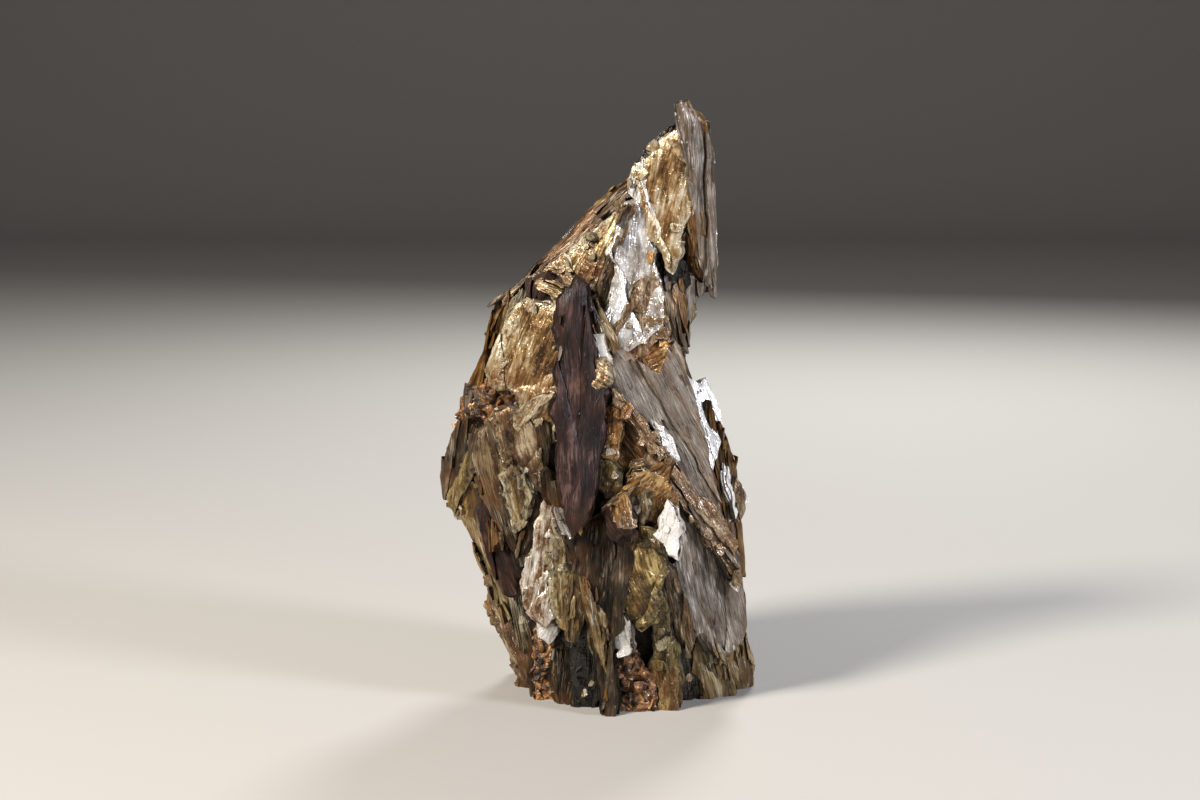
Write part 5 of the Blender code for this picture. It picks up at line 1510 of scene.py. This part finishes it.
def paint_glints(tree, flash, glints, deep, colour, painted_glint_colour):
    """Paint the glints as pale specks outside the hollows; gives them and the colour with them on."""
    open_share = add(tree, "MapRange", {0: deep, 3: glints, 4: 0.0})
    flash = add(tree, "Math", {0: flash, 1: open_share}, operation="MULTIPLY")
    return flash, add(tree, "Mix", {0: flash, 6: colour, 7: painted_glint_colour}, 2, data_type="RGBA")


def draw_lines(tree, lines, share, colour, ink):
    """Thin lines drawn over a colour with a share of an ink."""
    share = add(tree, "Math", {0: lines, 1: share}, operation="MULTIPLY")
    return add(tree, "Mix", {0: share, 6: colour, 7: ink}, 2, data_type="RGBA")


def wear_rim(tree, shared, frayed, low, high, most):
    """How worn each place is: how near the rim it lies, broken up by a noise."""
    frayed = add(tree, "MapRange", {0: frayed, 1: 0.38, 2: 0.62, 3: 0.2, 4: 1.3})
    worn = add(tree, "Math", {0: frayed, 1: shared["rim"]}, operation="MULTIPLY")
    return add(tree, "MapRange", {0: worn, 1: low, 2: high, 4: most})


def finish_surface(tree, shader, colour, shine, roughness, height):
    """Link what a network has worked out to its shader; height is in millimetres."""
    tree.links.new(colour, shader.inputs["Base Color"])
    tree.links.new(shine, shader.inputs["Metallic"])
    tree.links.new(roughness, shader.inputs["Roughness"])
    normal = add(tree, "Bump", {"Height": height, "Distance": 0.001, "Strength": 1.0})
    tree.links.new(normal, shader.inputs["Normal"])


# %% [markdown]
# ## Cleavage faces
#
# A cleavage face is a natural mirror seen through a few clear sheets: part metal, part varnish.
# Iron between the sheets turns it from silver to gold, olive or brown, in clouds a few millimetres
# wide that are drawn out into streaks along the grain. The face is never quite flat: it waves
# gently and is made of patches that tilt a degree or two, so that its sheen breaks up.

# %% Cleavage finish
def cleavage_finish(name, stops, wall, rim, metal, rough, wave=1.0, specks=0.5, dirt_and_shade="120B06",
                    patch=5.0, rust=0.35, glints=0.6, low=0.40, high=0.60, streaky=0.28):
    """A cleavage face. stops are its colours over patches, wall and rim its edge colours."""
    material, tree, shader, shared = start_finish(name)
    place = wander(tree, shared["sheet"], 0.9)
    clouds = pattern(tree, place, patch, patch * 2.2, 3.0, 0.6, 0.6)
    streaks = pattern(tree, place, 0.75, 8.0, 3.0, 0.6, 0.3, 23.0)
    mottle = pattern(tree, place, 0.9, 1.5, 3.0, 0.65, 0.6, 31.0)
    broad, broad_tone, broad_glint = facets(tree, place, 2.6, 5.5)
    small, small_tone, small_glint = facets(tree, place, 0.9, 1.9)
    mixed = weigh(tree, (clouds, 0.74 - streaky), (streaks, streaky), (mottle, 0.18),
                  (broad_tone, 0.05), (small_tone, 0.03), (shared["tone"], 0.03))
    face = add(tree, "ValToRGB", {0: mixed}, stops=spread(stops, low, high))
    grains = pattern(tree, place, 0.6, 0.8, 2.0, 0.6, 0.0, 3.0)
    grains = add(tree, "MapRange", {0: grains, 1: 0.60 - 0.05 * specks, 2: 0.70, 4: specks})
    face = add(tree, "Mix", {0: grains, 6: face, 7: "3A2614"}, 2, data_type="RGBA")
    cracks = thin_lines(tree, place, 2.8, 16.0, 0.012, 9.0)
    face = draw_lines(tree, cracks, 0.45, face, dirt_and_shade)
    frayed = pattern(tree, place, 1.0, 1.6, 3.0, 0.7, 0.5, 5.0)
    worn = wear_rim(tree, shared, frayed, 0.25, 0.9, 0.75)
    face = add(tree, "Mix", {0: worn, 6: face, 7: rim}, 2, data_type="RGBA")
    layers = pattern(tree, place, 0.26, 9.0, 3.0, 0.7)
    side = add(tree, "ValToRGB", {0: layers},
               stops=[(0.38, dirt_and_shade), (0.47, wall), (0.57, rim), (0.66, stops[-1])])
    colour = add(tree, "Mix", {0: shared["edge"], 6: face, 7: side}, 2, data_type="RGBA")
    colour, deep = rust_dirt_and_shade(tree, shared, colour, rust, dirt_and_shade)
    flash = gather_glints(tree, shared, place, 0.40, 0.8, glints)
    # painted glints: pale specks mixed into the base colour outside the hollows
    flash, colour = paint_glints(tree, flash, glints, deep, colour, "F6F0E4")
    dull = add(tree, "Math", {0: shared["edge"], 1: 0.9}, operation="MULTIPLY")
    dull = add(tree, "Math", {0: dull, 1: deep}, operation="MAXIMUM")
    dull = add(tree, "Math", {0: dull, 1: grains}, operation="MAXIMUM")
    mirror = add(tree, "MapRange", {0: broad_glint, 3: metal * 0.75, 4: metal * 1.25})
    shine = add(tree, "MapRange", {0: dull, 3: mirror, 4: 0.0})
    roughness = add(tree, "MapRange", {0: dull, 3: rough, 4: 0.5})
    roughness = weigh(tree, (roughness, 1.0), (small_glint, 0.10), (flash, -0.08))
    buckle = pattern(tree, place, 2.2, 9.0, 2.0, 0.5, 0.3, 13.0)
    ripples = pattern(tree, place, 3.2, 1.1, 2.0, 0.5, 0.4, 53.0)
    height = weigh(tree, (broad, 0.16 * wave), (small, 0.14 * wave), (buckle, 0.50 * wave),
                   (ripples, 0.10 * wave), (streaks, 0.20), (mottle, 0.08), (cracks, -0.10),
                   (grains, -0.05), (worn, 0.08))
    ridges = add(tree, "Math", {0: layers, 1: shared["edge"]}, operation="MULTIPLY")
    height = weigh(tree, (height, 1.0), (ridges, 0.45))
    finish_surface(tree, shader, colour, shine, roughness, height)
    return material


# %% [markdown]
# ## Sheet edges
#
# Where a book is seen from its side, each sheet shows as a line a fraction of a millimetre wide,
# and the lines gather into bundles that lean their own way, so that some shine like satin while
# others stay dull; the satin streaks and small glints are also painted pale into the colour. The
# real lines are a few hundredths of a millimetre; these are drawn at 0.3 mm and up, because
# anything finer would only blur to grey.

# %% Edge finish
EDGE_SPECULAR = 0.25    # the lines break the surface up, so it gives back half of its gloss


def edge_finish(name, stops, painted_glint_colour, rim, metal, rough, dirt_and_shade="0E0906", rust=0.4,
                glints=0.5, low=0.41, high=0.60, fibre=0.20):
    """Sheet edges. stops are the colours from the darkest lines to the palest, and fibre is how
    much the lines show against the clouds."""
    material, tree, shader, shared = start_finish(name)
    shader.inputs["Specular IOR Level"].default_value = EDGE_SPECULAR
    place = wander(tree, shared["sheet"], 0.7)
    bands = pattern(tree, place, 2.6, 15.0, 3.0, 0.55, 0.4, 2.0)
    clouds = pattern(tree, place, 5.0, 8.0, 3.0, 0.6, 0.6, 37.0)
    lines = pattern(tree, place, 0.42, 6.0, 3.0, 0.6, 0.3)
    hairs = pattern(tree, place, 0.26, 2.2, 2.0, 0.6, 0.0, 6.0)
    bundle, bundle_tone, bundle_glint = facets(tree, place, 1.1, 9.0)
    mixed = weigh(tree, (bands, 0.26), (clouds, 0.52 - fibre), (lines, fibre), (hairs, 0.16),
                  (bundle_tone, 0.06), (shared["tone"], 0.03))
    colour = add(tree, "ValToRGB", {0: mixed}, stops=spread(stops, low, high))
    frayed = pattern(tree, place, 0.8, 4.0, 2.0, 0.6, 0.0, 5.0)
    worn = wear_rim(tree, shared, frayed, 0.30, 0.95, 0.8)
    on_face = add(tree, "MapRange", {0: shared["edge"], 3: 1.0, 4: 0.3})
    worn = add(tree, "Math", {0: worn, 1: on_face}, operation="MULTIPLY")
    colour = add(tree, "Mix", {0: worn, 6: colour, 7: rim}, 2, data_type="RGBA")
    # painted shade: the walls of the book are darkened towards the dark colour
    shade = add(tree, "Math", {0: shared["edge"], 1: 0.4}, operation="MULTIPLY")
    colour = add(tree, "Mix", {0: shade, 6: colour, 7: dirt_and_shade}, 2, data_type="RGBA")
    splits = thin_lines(tree, place, 1.6, 22.0, 0.016, 21.0)
    colour = draw_lines(tree, splits, 0.5, colour, dirt_and_shade)
    colour, deep = rust_dirt_and_shade(tree, shared, colour, rust, dirt_and_shade)
    # painted sheen and glints: pale satin streaks and specks mixed into the colour
    where = pattern(tree, place, 3.5, 8.0, 2.0, 0.5, 0.0, 17.0)
    where = add(tree, "MapRange", {0: where, 1: 0.50, 2: 0.64})
    satin = add(tree, "MapRange", {0: lines, 1: 0.50, 2: 0.66})
    satin = add(tree, "Math", {0: satin, 1: where}, operation="MULTIPLY")
    specks = gather_glints(tree, shared, place, 0.34, 1.3, glints)
    flash = add(tree, "Math", {0: satin, 1: specks}, operation="MAXIMUM")
    flash, colour = paint_glints(tree, flash, glints, deep, colour, painted_glint_colour)
    mirror = add(tree, "MapRange", {0: bundle_glint, 3: metal * 0.5, 4: metal * 1.5})
    shine = add(tree, "MapRange", {0: deep, 3: mirror, 4: 0.0})
    roughness = weigh(tree, (bundle_tone, 0.14), (flash, -0.12), (1.0, rough - 0.07))
    height = weigh(tree, (bands, 0.34), (lines, 0.22), (hairs, 0.10), (bundle, 0.26),
                   (splits, -0.10))
    finish_surface(tree, shader, colour, shine, roughness, height)
    return material


# %% [markdown]
# ## Rusty crumb
#
# Between the books sits a porous crust of weathered mica and iron, orange on its high points,
# nearly black in its pits and scattered with clean flakes that flash.

# %% Crumb finish
def crumb_finish(name):
    material, tree, shader, shared = start_finish(name)
    lumps = stain(tree, shared, 2.6, 0.3, 0.7)
    grains = stain(tree, shared, 0.9, 0.3, 0.7, 7.0)
    flakes = stain(tree, shared, 1.1, 0.62, 0.68, 19.0)
    mixed = weigh(tree, (lumps, 0.6), (grains, 0.4))
    colour = add(tree, "ValToRGB", {0: mixed},
                 stops=[(0.25, "120B06"), (0.42, "452A14"), (0.60, "87572A"), (0.78, "B98B52"),
                        (0.92, "E2D3B4")])
    colour = add(tree, "Mix", {0: flakes, 6: colour, 7: "EDE6D6"}, 2, data_type="RGBA")
    colour, _ = rust_dirt_and_shade(tree, shared, colour, 0.2, "0C0704")
    shine = add(tree, "MapRange", {0: flakes, 3: 0.05, 4: 0.6})
    roughness = add(tree, "MapRange", {0: flakes, 3: 0.55, 4: 0.22})
    height = weigh(tree, (lumps, 0.35), (grains, 0.2))
    finish_surface(tree, shader, colour, shine, roughness, height)
    return material


# %% [markdown]
# ## The finishes
#
# Each is named for the mica it shows. Cleavage faces list their colours over the patches, then the
# colour of their sheet ends and of the worn rim; edges list their lines from dark to pale.

# %% Finishes
FINISHES = {
    "silver": cleavage_finish("cleaved_mica_silver", ["93897F", "C2BAB1", "E6E3DF", "FFFFFF"],
                              "5E5145", "E6DFD2", 0.60, 0.22, 1.2, 0.3, rust=0.25, low=0.41,
                              high=0.55, glints=0.9),
    "white": cleavage_finish("cleaved_mica_white", ["C9C4BF", "EAE8E6", "FAF9F8", "FFFFFF"],
                             "A0968C", "F6EFE6", 0.30, 0.24, 1.0, 0.1, rust=0.05, glints=1.0),
    "silver_gold": cleavage_finish("cleaved_mica_silver_gold",
                                   ["3C2814", "846444", "CDC2B2", "FFFFFF"], "4A3624", "DDD2BE",
                                   0.55, 0.22, 1.0, 0.3, rust=0.4, glints=1.0, low=0.40,
                                   high=0.60, streaky=0.46),
    "zebra": cleavage_finish("cleaved_mica_silver_and_black",
                             ["060504", "1A1714", "C9C4BD", "FFFFFF"], "14110E", "E6E0D6",
                             0.50, 0.18, 1.4, 0.2, rust=0.05, glints=0.6, low=0.44, high=0.53,
                             streaky=0.56),
    "pale_gold": cleavage_finish("cleaved_mica_pale_gold", ["402A14", "7E5C34", "B4986C", "E8DEC6"],
                                 "4A3A24", "D2C9AC", 0.50, 0.24, 1.1, 0.7, glints=0.8,
                                 streaky=0.36),
    "gold": cleavage_finish("cleaved_mica_gold", ["2A1B0D", "5C4426", "8C7448", "CBC09E"],
                            "3A2D1C", "B9B296", 0.50, 0.26, 1.0, 0.6, glints=0.7, streaky=0.36),
    "olive": cleavage_finish("cleaved_mica_olive", ["161106", "3A2C14", "6C5529", "BDA46C"],
                             "2A2416", "86784E", 0.45, 0.26, 1.0, 0.6),
    "stained": cleavage_finish("cleaved_mica_stained", ["1A1108", "46301C", "72583E", "BFAF92"],
                               "281B10", "8C7550", 0.42, 0.28, 1.1, 0.7, glints=0.9),
    "amber": cleavage_finish("cleaved_mica_amber", ["201006", "552F12", "94642E", "DDBD86"],
                             "2E1B0C", "B08A54", 0.42, 0.24, 1.2, 0.7, glints=0.9),
    "black": cleavage_finish("cleaved_mica_black", ["040403", "090807", "120F0C", "26211C"],
                             "0B0908", "2A241D", 0.15, 0.16, 1.6, 0.1, rust=0.05, glints=0.2),
    "grey": edge_finish("mica_edges_grey", ["463D34", "645A4F", "7A6F63", "9A9084"], "D0C8BC",
                        "6E543C", 0.10, 0.42, rust=0.12, glints=0.45, fibre=0.16),
    "taupe": edge_finish("mica_edges_taupe", ["453D36", "6E655C", "8C8379", "BDB6AD"], "E2DAD0",
                         "6E5740", 0.30, 0.32, rust=0.12, glints=0.7),
    "brown": edge_finish("mica_edges_brown", ["0F0A06", "2C2116", "4E3D2B", "7E6B50"], "CDBFA6",
                         "64503A", 0.26, 0.32, rust=0.3, glints=0.6, fibre=0.16),
    "purple": edge_finish("mica_edges_purple", ["0A0605", "1C0F0E", "301C1A", "58423E"], "8C7870",
                          "2A1815", 0.12, 0.46, rust=0.10, glints=0.3, fibre=0.13),
    "rust_edge": edge_finish("mica_edges_rusty", ["120904", "36210F", "61421F", "937240"],
                             "D8C49C", "7C582C", 0.24, 0.32, rust=0.3, glints=0.5),
    "tan": edge_finish("mica_edges_tan", ["2A2016", "5A4A32", "82704E", "B8A988"], "EAE2D2",
                       "8A6E40", 0.28, 0.30, rust=0.25, glints=0.7),
    "umber": edge_finish("mica_edges_umber", ["080604", "1B150E", "342A1F", "5C503F"], "AFA390",
                         "40321F", 0.20, 0.34, rust=0.25, glints=0.4, fibre=0.13),
    "crumb": crumb_finish("weathered_crumb"),
}
print(len(FINISHES), "finishes")

# %% [markdown]
# ## Giving each face its finish
#
# The union kept the number of each book's look on its faces, and that number picks the material slot.
# Shading is smooth within a face's relief and sharp at broken edges.

# %% Assign
SMOOTH_UP_TO = 28.0


def dress(target):
    """Give each face the material of its look; gives how many faces each look has."""
    data = target.data
    data.materials.clear()
    for look in LOOKS:
        data.materials.append(FINISHES[look])
    chosen = np.zeros(len(data.polygons), dtype=int)
    data.attributes["look"].data.foreach_get("value", chosen)
    data.polygons.foreach_set("material_index", chosen)
    select_only(target)
    bpy.ops.object.shade_smooth_by_angle(angle=math.radians(SMOOTH_UP_TO))
    return np.bincount(chosen, minlength=len(LOOKS))


for piece in pieces:
    print(piece.name, dict(zip(LOOKS, dress(piece).tolist())))
    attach(piece, "root")
    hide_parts("mica_crystal")

# %% [markdown]
# ## Floor and light
#
# A pale sheet lies on the table and curves up behind, so that no line shows where the floor ends.
# It is a plane whose far edge is spun a quarter turn and then extruded up. Mica only sparkles if
# it has bright and dark things to reflect, so two soft boxes give most of the light and the room
# itself stays dim.

# %% Backdrop
FLOOR_HALF = 1.6
FLOOR_BEND = 0.7
BEND_STEPS = 16
WALL_HEIGHT = 1.5


def select_far_edge(mesh_object, axis, place):
    """Select the edges all of whose points lie at a place on an axis, in edit mode."""
    mesh = bmesh.from_edit_mesh(mesh_object.data)
    for element in (*mesh.faces, *mesh.edges, *mesh.verts):
        element.select = False
    for edge in mesh.edges:
        edge.select = all(abs(vert.co[axis] - place) < 0.001 for vert in edge.verts)
    bmesh.update_edit_mesh(mesh_object.data)


def add_backdrop():
    bpy.ops.object.select_all(action="DESELECT")
    bpy.ops.mesh.primitive_plane_add(size=2 * FLOOR_HALF, location=(0, 0, 0))
    floor = bpy.context.object
    floor.name = "backdrop"
    bpy.ops.object.mode_set(mode="EDIT")
    bpy.ops.mesh.select_mode(type="EDGE")
    select_far_edge(floor, 1, FLOOR_HALF)
    bpy.ops.mesh.spin(steps=BEND_STEPS, angle=math.radians(90), center=(0, FLOOR_HALF, FLOOR_BEND),
                      axis=(-1, 0, 0))
    select_far_edge(floor, 1, FLOOR_HALF + FLOOR_BEND)
    bpy.ops.mesh.extrude_region_move(TRANSFORM_OT_translate={"value": (0, 0, WALL_HEIGHT)})
    bpy.ops.object.mode_set(mode="OBJECT")
    bpy.ops.object.shade_smooth()
    paper = bpy.data.materials.new("matt_paper")
    paper.use_nodes = True
    shader = paper.node_tree.nodes["Principled BSDF"]
    shader.inputs["Base Color"].default_value = linear("A9A7A3")
    shader.inputs["Roughness"].default_value = 0.9
    floor.data.materials.append(paper)
    floor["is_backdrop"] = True
    print("backdrop reaches", [round(max(vert.co[axis] for vert in floor.data.vertices), 2)
                               for axis in range(3)])


add_backdrop()

# %% Lights
LIGHT_AIM = Vector((0.0, 0.0, 0.075))    # metres, the middle of the specimen
ROOM_COLOUR, ROOM_LIGHT = "D4D4D8", 0.08


def add_light(name, place, size, power, colour):
    bpy.ops.object.light_add(type="AREA", location=place)
    light = bpy.context.object
    light.name = name
    light.data.shape = "DISK"
    light.data.size = size
    light.data.energy = power
    light.data.color = linear(colour)[:3]
    aim = LIGHT_AIM - Vector(place)
    light.rotation_euler = aim.to_track_quat("-Z", "Y").to_euler()


add_light("key_box", (-0.50, -0.40, 0.62), 0.22, 12.0, "FFF6EA")
add_light("side_box", (0.62, -0.34, 0.34), 0.18, 5.0, "F2F5FF")
add_light("back_box", (0.20, 0.70, 0.55), 0.24, 6.0, "FFFFFF")
world = bpy.data.worlds.new("dim_room")
bpy.context.scene.world = world
world.use_nodes = True
background = world.node_tree.nodes["Background"]
background.inputs["Color"].default_value = linear(ROOM_COLOUR)
background.inputs["Strength"].default_value = ROOM_LIGHT
bpy.context.scene.view_settings.view_transform = "Standard"
print("three soft boxes")

# %% [markdown]
# ## Finish
#
# The size of the dressed specimen is written next to the size of the solid that it stands for.

# %% Sizes and finish
visual_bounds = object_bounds()
for axis, low, high, cad_low, cad_high in zip("xyz", *visual_bounds, *cad_bounds):
    print(axis, round((high - low) * 1000, 1), "mm, solid", round((cad_high - cad_low) * 1000, 1))
